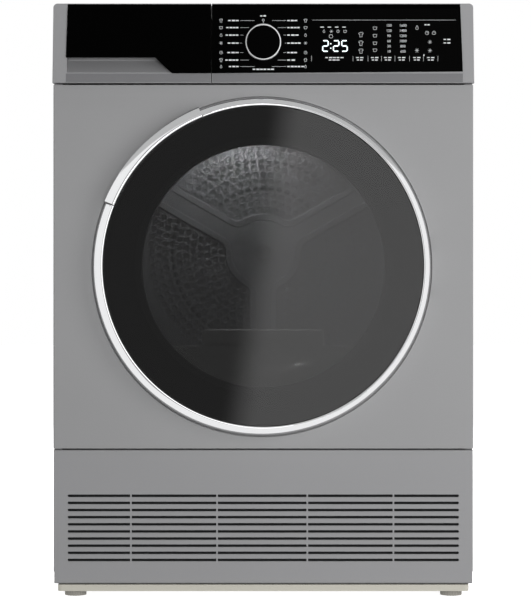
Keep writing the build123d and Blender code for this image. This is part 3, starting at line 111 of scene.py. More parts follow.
def maths(tree: bpy.types.NodeTree, operation: str, *values: Any,
          clamp: bool = False) -> bpy.types.NodeSocket:
    """Adds a Math node.

    Args:
        tree: The tree that takes the node.
        operation: Blender's name of the operation.
        *values: Its numbers or source sockets, in order.
        clamp: Whether the result is held between 0 and 1.

    Returns:
        The result's socket.
    """
    node = add_node(tree, "ShaderNodeMath", {"operation": operation, "use_clamp": clamp},
                    dict(enumerate(values)))
    return node.outputs[0]


class Grain(Enum):
    """How a surface was made, which decides the pattern that its material carries."""

    SPRAYED = "soft orange peel of a sprayed coat"
    MOULDED = "fine spark-eroded texture of a mould"
    SPANGLE = "zinc crystals"
    BRUSHED = "scratches that run one way"
    TURNED = "fine rings round an axle"
    FIBRE = "matted fibres"
    POLISHED = "nothing but faint smears"
    FINS = "thin parallel sheets"


@dataclass(frozen=True)
class Finish:
    """One finish: what the material is, and the pattern of its surface."""

    title: str
    colour: str
    shade: str
    grain: Grain
    scale_mm: float
    roughness: float
    spread: float = 0.05
    bump_mm: float = 0.0
    metallic: float = 0.0
    specular: float = 0.5
    alpha: float = 1.0
    sheen: float = 0.0
    stretch: Point = (1.0, 1.0, 1.0)
    glow: float = 0.0

    def _pattern(self, tree: bpy.types.NodeTree) -> bpy.types.NodeSocket:
        """Builds the pattern of the grain at its real size.

        Args:
            tree: The material's tree.

        Returns:
            A socket from 0 to 1.
        """
        place = add_node(tree, "ShaderNodeTexCoord")
        lay = add_node(tree, "ShaderNodeMapping", None, {"Vector": place.outputs["Object"],
                                                          "Scale": self.stretch})
        per_metre = 1.0 / (self.scale_mm * MM)
        if self.grain is Grain.SPANGLE:
            cells = add_node(tree, "ShaderNodeTexVoronoi", None,
                             {"Vector": lay.outputs[0], "Scale": per_metre})
            grey = add_node(tree, "ShaderNodeSeparateColor", None, {0: cells.outputs["Color"]})
            return grey.outputs[0]
        if self.grain is Grain.TURNED:
            rings = add_node(tree, "ShaderNodeTexWave", {"wave_type": "RINGS", "rings_direction": "Y"},
                             {"Vector": lay.outputs[0], "Scale": per_metre / 4, "Distortion": 1.5,
                              "Detail": 3.0})
            return rings.outputs["Fac"]
        if self.grain is Grain.FINS:
            sheets = add_node(tree, "ShaderNodeTexWave", {"bands_direction": "Y"},
                              {"Vector": lay.outputs[0], "Scale": per_metre / 4})
            return sheets.outputs["Fac"]
        detail = {Grain.POLISHED: 2.0, Grain.SPRAYED: 3.0, Grain.FIBRE: 9.0}.get(self.grain, 6.0)
        noise = add_node(tree, "ShaderNodeTexNoise", None,
                         {"Vector": lay.outputs[0], "Scale": per_metre, "Detail": detail,
                          "Roughness": 0.62})
        return noise.outputs["Fac"]

    def build(self) -> bpy.types.Material:
        """Makes the material.

        Returns:
            The material, with its pattern in colour, roughness and bump.
        """
        made = bpy.data.materials.new(self.title)
        made.use_nodes = True
        tree = made.node_tree
        tree.nodes.clear()
        pattern = self._pattern(tree)
        wide = add_node(tree, "ShaderNodeTexNoise", None,
                        {"Vector": add_node(tree, "ShaderNodeTexCoord").outputs["Object"],
                         "Scale": BROAD_PER_METRE, "Detail": 3.0})
        drift = maths(tree, "MULTIPLY", wide.outputs["Fac"], BROAD_SHARE)
        both = maths(tree, "MULTIPLY_ADD", pattern, 1 - BROAD_SHARE, drift, clamp=True)
        tint = add_node(tree, "ShaderNodeMix", {"data_type": "RGBA"},
                        {0: both, 6: linear(self.shade), 7: linear(self.colour)})
        rough = add_node(tree, "ShaderNodeMapRange", None,
                         {"Value": both, "From Min": 0.25, "From Max": 0.75,
                          "To Min": max(self.roughness - self.spread, 0.01),
                          "To Max": min(self.roughness + self.spread, 1.0)})
        shader = add_node(tree, "ShaderNodeBsdfPrincipled", None,
                          {"Base Color": tint.outputs[2], "Roughness": rough.outputs[0],
                           "Metallic": self.metallic, "Specular IOR Level": self.specular,
                           "Alpha": self.alpha, "Sheen Weight": self.sheen})
        if self.glow:
            shader.inputs["Emission Color"].default_value = linear(self.colour)
            shader.inputs["Emission Strength"].default_value = self.glow
        if self.bump_mm:
            dent = add_node(tree, "ShaderNodeBump", None,
                            {"Height": pattern, "Strength": 1.0, "Distance": self.bump_mm * MM})
            tree.links.new(dent.outputs[0], shader.inputs["Normal"])
        out = add_node(tree, "ShaderNodeOutputMaterial")
        tree.links.new(shader.outputs[0], out.inputs[0])
        return made


# Sheet steel with a sprayed and stoved silver coat: a soft sheen with a faint orange peel.
SILVER_COAT = Finish("stoved_silver_enamel_on_steel", "9b9b9c", "929293", Grain.SPRAYED, 2.2, 0.42,
                     0.04, 0.012, specular=0.4)
# Silver pigmented ABS, moulded and lacquered to match the steel: a little smoother.
SILVER_ABS = Finish("silver_lacquered_abs", "98989a", "909091", Grain.MOULDED, 1.0, 0.38,
                    0.04, 0.006, specular=0.4)
# Hot-dip zinc on thin steel: grey crystals that catch the light one by one.
ZINC = Finish("hot_dip_galvanised_steel", "a9acae", "83878a", Grain.SPANGLE, 7.0, 0.42,
              0.1, 0.01, metallic=0.9)
# Painted shade: the strip below the fascia faces a little downward and lies in shade, and a silver darker
# than the case stands in for that shade.
SHADE_STRIP_SILVER = Finish("silver_abs_painted_shade", "767678", "6f6f71", Grain.MOULDED, 1.0, 0.4,
                     0.04, 0.006, specular=0.35)
# Natural ABS, moulded, unpainted: warm off-white and dull.
CREAM_ABS = Finish("cream_moulded_abs", "cdcabf", "c2bfb4", Grain.MOULDED, 1.4, 0.5, 0.06, 0.012)
# Talc-filled polypropylene, moulded: pale grey and waxy.
PALE_PP = Finish("pale_grey_polypropylene", "c3c4c2", "b4b5b3", Grain.MOULDED, 1.6, 0.52, 0.06, 0.015)
# Blue pigmented polypropylene marks what the user may turn.
BLUE_PP = Finish("blue_polypropylene", "5b7faa", "4e719b", Grain.MOULDED, 1.2, 0.45, 0.05, 0.012)
# High-gloss black ABS with a hard clear layer: almost no colour, faint smears.
PIANO_BLACK = Finish("black_high_gloss_abs", "030303", "020202", Grain.POLISHED, 60.0, 0.12, 0.03,
                     specular=0.01)
# Chromium plated on polished ABS: a bright mirror with very faint smears.
CHROME = Finish("bright_chrome_plate", "f0f0f1", "e6e7e8", Grain.POLISHED, 40.0, 0.06, 0.02,
                metallic=1.0)
# Grey tinted acrylic pane: dark, clear through, with a clean gloss.
TINTED_PANE = Finish("grey_tinted_acrylic", "030303", "020202", Grain.POLISHED, 90.0, 0.03, 0.01,
                     alpha=0.6, specular=0.62)
# Ceramic print fired on the rim of the pane: opaque black, satin.
FIRED_PRINT = Finish("black_ceramic_print", "050505", "040404", Grain.POLISHED, 20.0, 0.6, 0.05,
                     specular=0.0)
# Pressed borosilicate glass of the inner bowl: clear with a soft gloss.
BOWL_GLASS = Finish("pressed_clear_glass", "0e1010", "0b0d0d", Grain.POLISHED, 70.0, 0.05, 0.02,
                    alpha=0.07, specular=0.3)
# Black glass-filled nylon: dull with a fine grain.
BLACK_NYLON = Finish("black_glass_filled_nylon", "232426", "19191b", Grain.MOULDED, 0.9, 0.55, 0.06,
                     0.01, specular=0.35)
# EPDM rubber, extruded: matt black with a grey bloom.
EPDM = Finish("black_epdm_rubber", "1d1d1d", "141414", Grain.MOULDED, 0.8, 0.8, 0.06, 0.015,
              specular=0.3)
# Pressed wool felt: cream, fuzzy, no gloss.
WOOL_FELT = Finish("pressed_wool_felt", "c9c1ae", "a89f8b", Grain.FIBRE, 1.1, 0.95, 0.03, 0.15,
                   specular=0.1, sheen=0.3)
# Stainless sheet of the drum, coloured greyer and duller than new sheet.
DRUM_STEEL = Finish("grey_satin_stainless_sheet", "8b8d8f", "77797b", Grain.BRUSHED, 0.9, 0.34, 0.05,
                    0.004, metallic=0.72, stretch=(0.06, 1.0, 1.0))
# Turned and ground steel of axles and screws.
GROUND_STEEL = Finish("ground_steel", "a7a8a9", "8e8f90", Grain.TURNED, 0.5, 0.3, 0.06, 0.003,
                      metallic=1.0)
# Air-drying enamel on the motor's laminations.
MOTOR_ENAMEL = Finish("dark_motor_enamel", "3a3b3e", "2c2d30", Grain.SPRAYED, 1.2, 0.4, 0.06, 0.02)
# Aluminium sheet folded to air channels: bright edges in rows.
ALUMINIUM = Finish("folded_aluminium_sheet", "c8cacc", "a2a4a7", Grain.FINS, 3.0, 0.35, 0.07, 0.05,
                   metallic=1.0)
# Grey-beige polyamide of the screw-in feet.
FOOT_PA = Finish("grey_beige_polyamide", "a8a59e", "97948d", Grain.MOULDED, 0.8, 0.55, 0.05, 0.02)
# Green solder mask over glass laminate.
SOLDER_MASK = Finish("green_solder_mask", "1f6b3c", "155230", Grain.POLISHED, 4.0, 0.3, 0.06)
# White screen-printing ink: flat and dense; its faint glow is painted light, as the ink is no lamp.
GLOWING_PRINT_WHITE = Finish("white_print_ink_painted_glow", "d2d4d6", "c6c8ca", Grain.MOULDED, 0.5, 0.6, 0.05,
                     glow=0.25)
# Light from the display's diodes, seen through the smoked window.
LIT_DIGIT = Finish("lit_display_segment", "e9f2f5", "dfeaee", Grain.POLISHED, 3.0, 0.4, 0.05,
                   glow=1.1)
# Painted shade: near-black plastic behind the grille's slots, which stands in for the shade in the gap
# behind them.
SHADE_GAP = Finish("dark_polypropylene_painted_shade", "2c2d2e", "202121", Grain.MOULDED, 1.5, 0.8, 0.05,
                   0.02, specular=0.2)


class Paintbox:
    """Builds each finish once and hands out its material."""

    def __init__(self) -> None:
        """Starts with nothing built."""
        self._made: dict[str, bpy.types.Material] = {}

    def of(self, finish: Finish) -> bpy.types.Material:
        """Gives the material of a finish.

        Args:
            finish: The finish wanted.

        Returns:
            The material, the same one each time.
        """
        if finish.title not in self._made:
            self._made[finish.title] = finish.build()
        return self._made[finish.title]


PAINT = Paintbox()

SLOT_FINISH: dict[str, Finish] = {
    "painted_steel": SILVER_COAT,
    "silver_plastic": SILVER_ABS,
    "galvanised_steel": ZINC,
    "cream_plastic": CREAM_ABS,
    "light_plastic": PALE_PP,
    "blue_plastic": BLUE_PP,
    "black_gloss": PIANO_BLACK,
    "chrome": CHROME,
    "dark_glass": TINTED_PANE,
    "clear_glass": BOWL_GLASS,
    "dark_plastic": BLACK_NYLON,
    "rubber": EPDM,
    "felt": WOOL_FELT,
    "stainless": DRUM_STEEL,
    "laminated_board": SILVER_COAT,
    "bright_steel": GROUND_STEEL,
    "motor_paint": MOTOR_ENAMEL,
    "aluminium_fins": ALUMINIUM,
    "foot_plastic": FOOT_PA,
    "circuit_board": SOLDER_MASK,
}


# ---------------------------------------------------------------- mesh helpers


def place_piece(name: str, mesh: bpy.types.Mesh, finish: Finish, body: str,
                smooth_deg: float = 35.0) -> bpy.types.Object:
    """Puts a finished mesh in the scene as a piece that rides on a body.

    Args:
        name: The piece's name.
        mesh: Its mesh, in metres, in the machine's frame.
        finish: Its finish.
        body: The CAD body that it moves with.
        smooth_deg: Edges sharper than this stay sharp.

    Returns:
        The piece.
    """
    mesh.materials.clear()
    mesh.materials.append(PAINT.of(finish))
    mesh.shade_smooth()
    mesh.set_sharp_from_angle(angle=math.radians(smooth_deg))
    piece = bpy.data.objects.new(name, mesh)
    bpy.context.scene.collection.objects.link(piece)
    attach(piece, body)
    LOG.info("%s: %d faces on %s", name, len(mesh.polygons), body)
    return piece


def repair(mesh: bpy.types.Mesh, weld: float = 0.0, collapse: float = 0.0) -> None:
    """Merges doubles, drops faces without area and turns all normals outward.

    Args:
        mesh: The mesh, changed in place.
        weld: Corners nearer than this, in metres, are merged; 0 leaves them.
        collapse: Edges shorter than this, in metres, are dropped; 0 leaves them.
    """
    work = bmesh.new()
    work.from_mesh(mesh)
    if weld:
        bmesh.ops.remove_doubles(work, verts=work.verts, dist=weld)
    if collapse:
        bmesh.ops.dissolve_degenerate(work, dist=collapse, edges=work.edges)
    bmesh.ops.recalc_face_normals(work, faces=work.faces)
    work.to_mesh(mesh)
    work.free()


def skin(rows: int, count: int, close_rows: bool = False,
         close_count: bool = True) -> list[list[int]]:
    """Gives the quads between rows of points.

    Args:
        rows: How many rows.
        count: Points in each row.
        close_rows: Whether the last row meets the first.
        close_count: Whether each row's last point meets its first.

    Returns:
        The corner numbers of each quad.
    """
    row_steps = range(rows if close_rows else rows - 1)
    steps = range(count if close_count else count - 1)
    return [[row * count + i, row * count + (i + 1) % count,
             (row + 1) % rows * count + (i + 1) % count, (row + 1) % rows * count + i]
            for row in row_steps for i in steps]


def mesh_from(name: str, points: Sequence[Point], faces: Sequence[Sequence[int]],
              heal: bool = True) -> bpy.types.Mesh:
    """Makes a mesh from points in millimetres.

    Args:
        name: The mesh's name.
        points: Corners, in millimetres.
        faces: Corner numbers of each face.
        heal: Whether doubles are merged and the normals turned outward.

    Returns:
        The mesh, in metres.
    """
    mesh = bpy.data.meshes.new(name)
    mesh.from_pydata([(x * MM, y * MM, z * MM) for x, y, z in points], [], faces)
    if heal:
        repair(mesh, weld=1e-6)
    return mesh


def lathe(name: str, profile: Sequence[Flat], centre: Flat,
          steps: int = 160) -> bpy.types.Mesh:
    """Turns a closed profile about an axis that runs front to back.

    Args:
        name: The mesh's name.
        profile: (radius, y) corners in order; a radius of 0 closes at the axis.
        centre: x and z of the axis.
        steps: Segments round the turn.

    Returns:
        The mesh.
    """
    angles = [2 * math.pi * step / steps for step in range(steps)]
    points = [(centre[0] + radius * math.cos(a), y, centre[1] + radius * math.sin(a))
              for a in angles for radius, y in profile]
    made = mesh_from(name, points, skin(steps, len(profile), close_rows=True))
    repair(made, collapse=1e-7)
    return made


def prism(outline: Sequence[Flat], back: float, front: float) -> tuple[list[Point], list[list[int]]]:
    """Makes a plate with an outline in x and z.

    Args:
        outline: (x, z) corners in order.
        back: y of its back.
        front: y of its front.

    Returns:
        Points and faces for mesh_from.
    """
    count = len(outline)
    points = [(x, back, z) for x, z in outline] + [(x, front, z) for x, z in outline]
    ends = [list(range(count)), list(range(2 * count - 1, count - 1, -1))]
    return points, ends + skin(2, count)


def box_outline(x0: float, x1: float, z0: float, z1: float) -> list[Flat]:
    """Gives the four corners of an upright rectangle."""
    return [(x0, z0), (x1, z0), (x1, z1), (x0, z1)]


def arc_points(x: float, z: float, radius: float, start: float, end: float,
               steps: int) -> list[Flat]:
    """Gives points along an arc.

    Args:
        x: Centre across.
        z: Centre up.
        radius: Radius.
        start: First angle in degrees, counter-clockwise from +X.
        end: Last angle in degrees.
        steps: Segments.

    Returns:
        steps + 1 points.
    """
    angles = [math.radians(start + (end - start) * i / steps) for i in range(steps + 1)]
    return [(x + radius * math.cos(a), z + radius * math.sin(a)) for a in angles]


class Flats:
    """Gathers many thin printed or moulded shapes into one mesh."""

    def __init__(self, name: str, back: float, front: float) -> None:
        """Starts an empty set of shapes between two depths.

        Args:
            name: The mesh's name.
            back: y of every shape's back.
            front: y of every shape's front.
        """
        self.name = name
        self.back = back
        self.front = front
        self.points: list[Point] = []
        self.faces: list[list[int]] = []

    def shape(self, outline: Sequence[Flat]) -> None:
        """Adds one outline, as a thin plate."""
        points, faces = prism(outline, self.back, self.front)
        start = len(self.points)
        self.points += points
        self.faces += [[start + i for i in face] for face in faces]

    def bar(self, x: float, z: float, wide: float, high: float) -> None:
        """Adds an upright rectangle by its middle and size."""
        self.shape(box_outline(x - wide / 2, x + wide / 2, z - high / 2, z + high / 2))

    def stroke(self, ends: Sequence[Flat], wide: float) -> None:
        """Adds a line of a given width through some points.

        Args:
            ends: The points, in order.
            wide: The line's width.
        """
        for (x0, z0), (x1, z1) in zip(ends, ends[1:]):
            length = math.hypot(x1 - x0, z1 - z0) or 1.0
            ux, uz = (x1 - x0) / length, (z1 - z0) / length
            sx, sz = -uz * wide / 2, ux * wide / 2
            x0, z0, x1, z1 = x0 - ux * wide / 4, z0 - uz * wide / 4, x1 + ux * wide / 4, z1 + uz * wide / 4
            self.shape([(x0 - sx, z0 - sz), (x1 - sx, z1 - sz), (x1 + sx, z1 + sz), (x0 + sx, z0 + sz)])

    def ring(self, x: float, z: float, radius: float, wide: float, steps: int = 20,
             start: float = 0.0, end: float = 360.0) -> None:
        """Adds a ring or part of one as a stroke round a circle."""
        self.stroke(arc_points(x, z, radius, start, end, steps), wide)

    def mesh(self) -> bpy.types.Mesh:
        """Gives the gathered mesh."""
        return mesh_from(self.name, self.points, self.faces, heal=False)


# ---------------------------------------------------------------- repeats with Geometry Nodes


class Repeat(Enum):
    """How a template is repeated."""

    ROUND = "round an axis that runs front to back"
    GRID = "in rows and columns across the front"


@dataclass
class Repeater:
    """Repeats one small mesh by Geometry Nodes and gives back a plain mesh."""

    kind: Repeat
    template: bpy.types.Mesh
    finish: Finish
    numbers: dict[str, Any]

    SOCKETS = {
        Repeat.ROUND: (("Copies", "NodeSocketInt"), ("Radius", "NodeSocketFloat"),
                       ("Centre", "NodeSocketVector"), ("First Angle", "NodeSocketFloat")),
        Repeat.GRID: (("Columns", "NodeSocketInt"), ("Rows", "NodeSocketInt"),
                      ("Column Pitch", "NodeSocketFloat"), ("Row Pitch", "NodeSocketFloat"),
                      ("Centre", "NodeSocketVector")),
    }

    def _points(self, tree: bpy.types.NodeTree, given: bpy.types.Node) -> tuple[Any, Any]:
        """Lays out the points that take a copy.

        Args:
            tree: The Geometry Nodes tree.
            given: Its Group Input.

        Returns:
            The sockets of the points and of each copy's rotation.
        """
        if self.kind is Repeat.ROUND:
            line = add_node(tree, "GeometryNodeMeshLine", None,
                            {"Count": given.outputs["Copies"], "Offset": (0.0, 0.0, 0.0)})
            number = add_node(tree, "GeometryNodeInputIndex")
            turn = maths(tree, "DIVIDE", 2 * math.pi, given.outputs["Copies"])
            angle = maths(tree, "MULTIPLY_ADD", number.outputs[0], turn,
                          given.outputs["First Angle"])
            way = add_node(tree, "ShaderNodeCombineXYZ", None,
                           {0: maths(tree, "COSINE", angle), 2: maths(tree, "SINE", angle)})
            arm = add_node(tree, "ShaderNodeVectorMath", {"operation": "SCALE"},
                           {0: way.outputs[0], "Scale": given.outputs["Radius"]})
            spot = add_node(tree, "ShaderNodeVectorMath", {"operation": "ADD"},
                            {0: arm.outputs[0], 1: given.outputs["Centre"]})
            moved = add_node(tree, "GeometryNodeSetPosition", None,
                             {"Geometry": line.outputs[0], "Position": spot.outputs[0]})
            spin = add_node(tree, "ShaderNodeCombineXYZ", None, {1: maths(tree, "MULTIPLY", angle, -1.0)})
            euler = add_node(tree, "FunctionNodeEulerToRotation", None, {0: spin.outputs[0]})
            return moved.outputs[0], euler.outputs[0]
        spans = [maths(tree, "MULTIPLY", maths(tree, "SUBTRACT", given.outputs[count], 1.0),
                       given.outputs[pitch])
                 for count, pitch in (("Columns", "Column Pitch"), ("Rows", "Row Pitch"))]
        grid = add_node(tree, "GeometryNodeMeshGrid", None,
                        {"Size X": spans[0], "Size Y": spans[1],
                         "Vertices X": given.outputs["Columns"], "Vertices Y": given.outputs["Rows"]})
        stood = add_node(tree, "GeometryNodeTransform", None,
                         {"Geometry": grid.outputs[0], "Rotation": (math.pi / 2, 0.0, 0.0),
                          "Translation": given.outputs["Centre"]})
        still = add_node(tree, "FunctionNodeEulerToRotation")
        return stood.outputs[0], still.outputs[0]

    def make(self, name: str) -> bpy.types.Mesh:
        """Builds the tree, sets its inputs and applies it.

        Args:
            name: The name of the result.

        Returns:
            A plain mesh of all the copies.
        """
        tree = bpy.data.node_groups.new(name, "GeometryNodeTree")
        tree.interface.new_socket("Geometry", in_out="INPUT", socket_type="NodeSocketGeometry")
        tree.interface.new_socket("Finish", in_out="INPUT", socket_type="NodeSocketMaterial")
        for title, socket_type in self.SOCKETS[self.kind]:
            tree.interface.new_socket(title, in_out="INPUT", socket_type=socket_type)
        tree.interface.new_socket("Geometry", in_out="OUTPUT", socket_type="NodeSocketGeometry")
        given = add_node(tree, "NodeGroupInput")
        points, turned = self._points(tree, given)
        copies = add_node(tree, "GeometryNodeInstanceOnPoints", None,
                          {"Points": points, "Instance": given.outputs["Geometry"],
                           "Rotation": turned})
        real = add_node(tree, "GeometryNodeRealizeInstances", None, {0: copies.outputs[0]})
        dressed = add_node(tree, "GeometryNodeSetMaterial", None,
                           {"Geometry": real.outputs[0], "Material": given.outputs["Finish"]})
        add_node(tree, "NodeGroupOutput", None, {0: dressed.outputs[0]})
        holder = bpy.data.objects.new(name, self.template)
        bpy.context.scene.collection.objects.link(holder)
        modifier = holder.modifiers.new("repeat", "NODES")
        modifier.node_group = tree
        values = {"Finish": PAINT.of(self.finish), **self.numbers}
        for item in tree.interface.items_tree:
            if item.in_out == "INPUT" and item.name in values:
                modifier[item.identifier] = values[item.name]
        graph = bpy.context.evaluated_depsgraph_get()
        made = bpy.data.meshes.new_from_object(holder.evaluated_get(graph))
        made.name = name
        bpy.data.objects.remove(holder)
        return made


def merge_meshes(name: str, meshes: Iterable[bpy.types.Mesh], weld: float = 0.0) -> bpy.types.Mesh:
    """Joins several meshes into one.

    Args:
        name: The name of the result.
        meshes: The meshes.
        weld: Corners nearer than this, in metres, are merged; 0 leaves them.

    Returns:
        The joined mesh.
    """
    work = bmesh.new()
    for mesh in meshes:
        work.from_mesh(mesh)
    if weld:
        bmesh.ops.remove_doubles(work, verts=work.verts, dist=weld)
    made = bpy.data.meshes.new(name)
    work.to_mesh(made)
    work.free()
    return made


# ---------------------------------------------------------------- door


@dataclass
class Door:
    """Round door: chrome ring with a grab handle, tinted dome, inner frame and glass bowl."""

    x: float = 0.0
    z: float = 471.5
    glass_r: float = 225.5
    glass_edge_y: float = -291.0
    glass_top_y: float = -304.5
    glass_thick: float = 4.0
    print_r: float = 181.0
    print_thick: float = 0.15
    screw_count: int = 12
    screw_ring_r: float = 198.0
    ring_x: float = -1.9
    ring_z: float = 471.0
    ring_r: float = 238.5
    ring_front_y: float = -293.5
    ring_back_y: float = -262.0
    handle_r: float = 243.3
    handle_back_y: float = -277.0
    handle_front_y: float = -295.5
    handle_start: float = 112.0
    handle_end: float = 158.0
    hinge: Flat = (229.0, -276.0)
    ear_z: float = 38.0
    pocket_r: float = 27.5

    def _sweep(self, name: str, rows: Callable[[float], list[Point]], start: float, end: float,
               steps: int) -> bpy.types.Mesh:
        """Joins cross-sections taken at several angles, and caps both ends.

        Args:
            name: The mesh's name.
            rows: Gives the cross-section's corners at an angle in degrees.
            start: First angle.
            end: Last angle.
            steps: Number of steps between them.

        Returns:
            The closed mesh.
        """
        sections = [rows(start + (end - start) * step / steps) for step in range(steps + 1)]
        count = len(sections[0])
        ends = [list(range(count)), [steps * count + i for i in reversed(range(count))]]
        points = [point for section in sections for point in section]
        return mesh_from(name, points, skin(steps + 1, count) + ends)

    def _ring_rows(self, degrees: float) -> list[Point]:
        """Gives the ring's cross-section: inner corners follow the glass, outer ones the ring."""
        way = (math.cos(math.radians(degrees)), math.sin(math.radians(degrees)))
        inner = [(self.glass_r + 0.6, self.ring_back_y - 0.3), (self.glass_r + 0.6, -291.6),
                 (self.glass_r + 0.9, -292.7), (self.glass_r + 1.8, self.ring_front_y + 0.1),
                 (self.glass_r + 3.2, self.ring_front_y + 0.1)]
        outer = [(self.ring_r - 8.4, -292.1), (self.ring_r - 5.2, -290.6),
                 (self.ring_r - 2.6, -288.7), (self.ring_r - 0.9, -286.2),
                 (self.ring_r - 0.1, -283.0), (self.ring_r - 0.1, self.ring_back_y - 0.3)]
        made = [(self.x + r * way[0], y, self.z + r * way[1]) for r, y in inner]
        return made + [(self.ring_x + r * way[0], y, self.ring_z + r * way[1]) for r, y in outer]

    def _handle_rows(self, degrees: float) -> list[Point]:
        """Gives the handle's cross-section, drawn in where its ends are rounded."""
        way = (math.cos(math.radians(degrees)), math.sin(math.radians(degrees)))
        inner = self.glass_r + 0.6
        front, back, far = self.handle_front_y, self.handle_back_y, self.handle_r
        section = [(inner, back), (inner, front + 2.2), (inner + 0.8, front + 0.9),
                   (inner + 2.2, front + 0.2), (inner + 4.4, front + 0.6), (far - 8.2, front + 2.6),
                   (far - 4.0, front + 4.8), (far - 1.4, front + 7.2), (far - 0.2, front + 10.2),
                   (far, front + 13.0), (far - 1.0, back - 1.2), (far - 3.6, back)]
        return [(self.x + r * way[0], y, self.z + r * way[1]) for r, y in section]

    def _cut(self, mesh: bpy.types.Mesh) -> bpy.types.Mesh:
        """Cuts the room for the fixed hinge ears and the leaf out of the ring.

        Args:
            mesh: The whole ring.

        Returns:
            The ring with its rooms.
        """
        x, y = self.hinge
        rooms = [(x - self.pocket_r, x + 40, y - 6.5, y + 42, self.z + side * self.ear_z - 3.3,
                  self.z + side * self.ear_z + 3.3) for side in (-1, 1)]
        rooms.append((x - 14, x + 6, y - 6, y + 14, self.z - self.ear_z + 3.1,
                      self.z + self.ear_z - 3.1))
        ring = bpy.data.objects.new("ring_blank", mesh)
        bpy.context.scene.collection.objects.link(ring)
        cutters = []
        for x0, x1, y0, y1, z0, z1 in rooms:
            points, faces = prism(box_outline(x0, x1, z0, z1), y1, y0)
            cutter = bpy.data.objects.new("room", mesh_from("room", points, faces))
            bpy.context.scene.collection.objects.link(cutter)
            cut = ring.modifiers.new("room", "BOOLEAN")
            cut.operation = "DIFFERENCE"
            cut.solver = "EXACT"
            cut.object = cutter
            cutters.append(cutter)
        graph = bpy.context.evaluated_depsgraph_get()
        made = bpy.data.meshes.new_from_object(ring.evaluated_get(graph))
        for item in (ring, *cutters):
            bpy.data.objects.remove(item)
        return made

    def _dome_run(self, start: float, end: float, steps: int, behind: float) -> list[Flat]:
        """Follows the pane's domed face outward.

        Args:
            start: First radius.
            end: Last radius.
            steps: Steps between them.
            behind: How far behind the face the run lies.

        Returns:
            steps + 1 corners as (radius, y).
        """
        rise = self.glass_edge_y - self.glass_top_y
        dome = (self.glass_r ** 2 + rise ** 2) / (2 * rise)
        radii = [start + (end - start) * i / steps for i in range(steps + 1)]
        centre = self.glass_top_y + behind + dome
        return [(r, centre - math.sqrt(dome ** 2 - r ** 2)) for r in radii]

    def _dome(self) -> bpy.types.Mesh:
        """Gives the tinted pane, a shallow dome of even thickness."""
        steps = 28
        front = self._dome_run(0.0, self.glass_r, steps, 0.0)
        back = [(r, y + self.glass_thick) for r, y in reversed(front)]
        return lathe("door_pane", front + back, (self.x, self.z), 192)

    def _border(self) -> bpy.types.Mesh:
        """Gives the black print behind the pane's rim, which hides the frame and the hinge."""
        near = self._dome_run(self.print_r, self.glass_r - 1.0, 8, self.glass_thick + 0.3)
        far = [(r, y + self.print_thick) for r, y in reversed(near)]
        return lathe("pane_border", near + far, (self.x, self.z), 160)

    def _bowl(self) -> bpy.types.Mesh:
        """Gives the pressed glass bowl with its rounded shoulder."""
        inside = [(0, -233), (60, -233.4), (118, -236), (131, -238.6), (139, -243.4), (144.6, -250),
                  (150, -258), (154, -264.5), (158.5, -268.6), (165, -270.2), (171.2, -270.8)]
        outside = [(171.2, -267.2), (165.5, -265.8), (160.5, -263), (156, -256), (151.5, -248.5),
                   (147, -242.2), (140, -236.4), (131, -232.8), (120, -231.6), (60, -229.5),
                   (0, -229.2)]
        return lathe("inner_bowl", inside + outside, (self.x, self.z), 160)

    def _screws(self) -> bpy.types.Mesh:
        """Gives the pan-head screws that hold the inner frame, made by Geometry Nodes."""
        head = lathe("screw_head", [(0, 0.0), (4.2, 0.0), (4.2, 0.9), (3.3, 1.9), (1.7, 2.3),
                                    (1.5, 1.0), (0, 1.0)], (0.0, 0.0), 16)
        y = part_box("door_inner_frame")[1].y
        return Repeater(Repeat.ROUND, head, GROUND_STEEL,
                        {"Copies": self.screw_count, "Radius": self.screw_ring_r * MM,
                         "First Angle": math.pi / self.screw_count,
                         "Centre": (self.x * MM, y - 0.0002, self.z * MM)}).make("frame_screws")

    def build(self) -> None:
        """Builds the door's visible pieces."""
        ring = self._cut(self._sweep("door_ring_bright", self._ring_rows, self.handle_end + 0.1,
                                     self.handle_start + 359.9, 260))
        piece = place_piece("door_ring_bright", ring, CHROME, "door", 40.0)
        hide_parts("door_ring")
        grip = self._sweep("door_grab_handle", self._handle_rows, self.handle_start + 0.2,
                           self.handle_end - 0.2, 56)
        piece = place_piece("door_grab_handle", grip, CHROME, "door", 50.0)
        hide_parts("door_handle")
        piece = place_piece("door_pane", self._dome(), TINTED_PANE, "door")
        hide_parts("door_glass")
        place_piece("pane_border", self._border(), FIRED_PRINT, "door")
        piece = place_piece("inner_bowl", self._bowl(), BOWL_GLASS, "door", 60.0)
        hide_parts("door_bowl")
        place_piece("frame_screws", self._screws(), GROUND_STEEL, "door")


# ---------------------------------------------------------------- drum


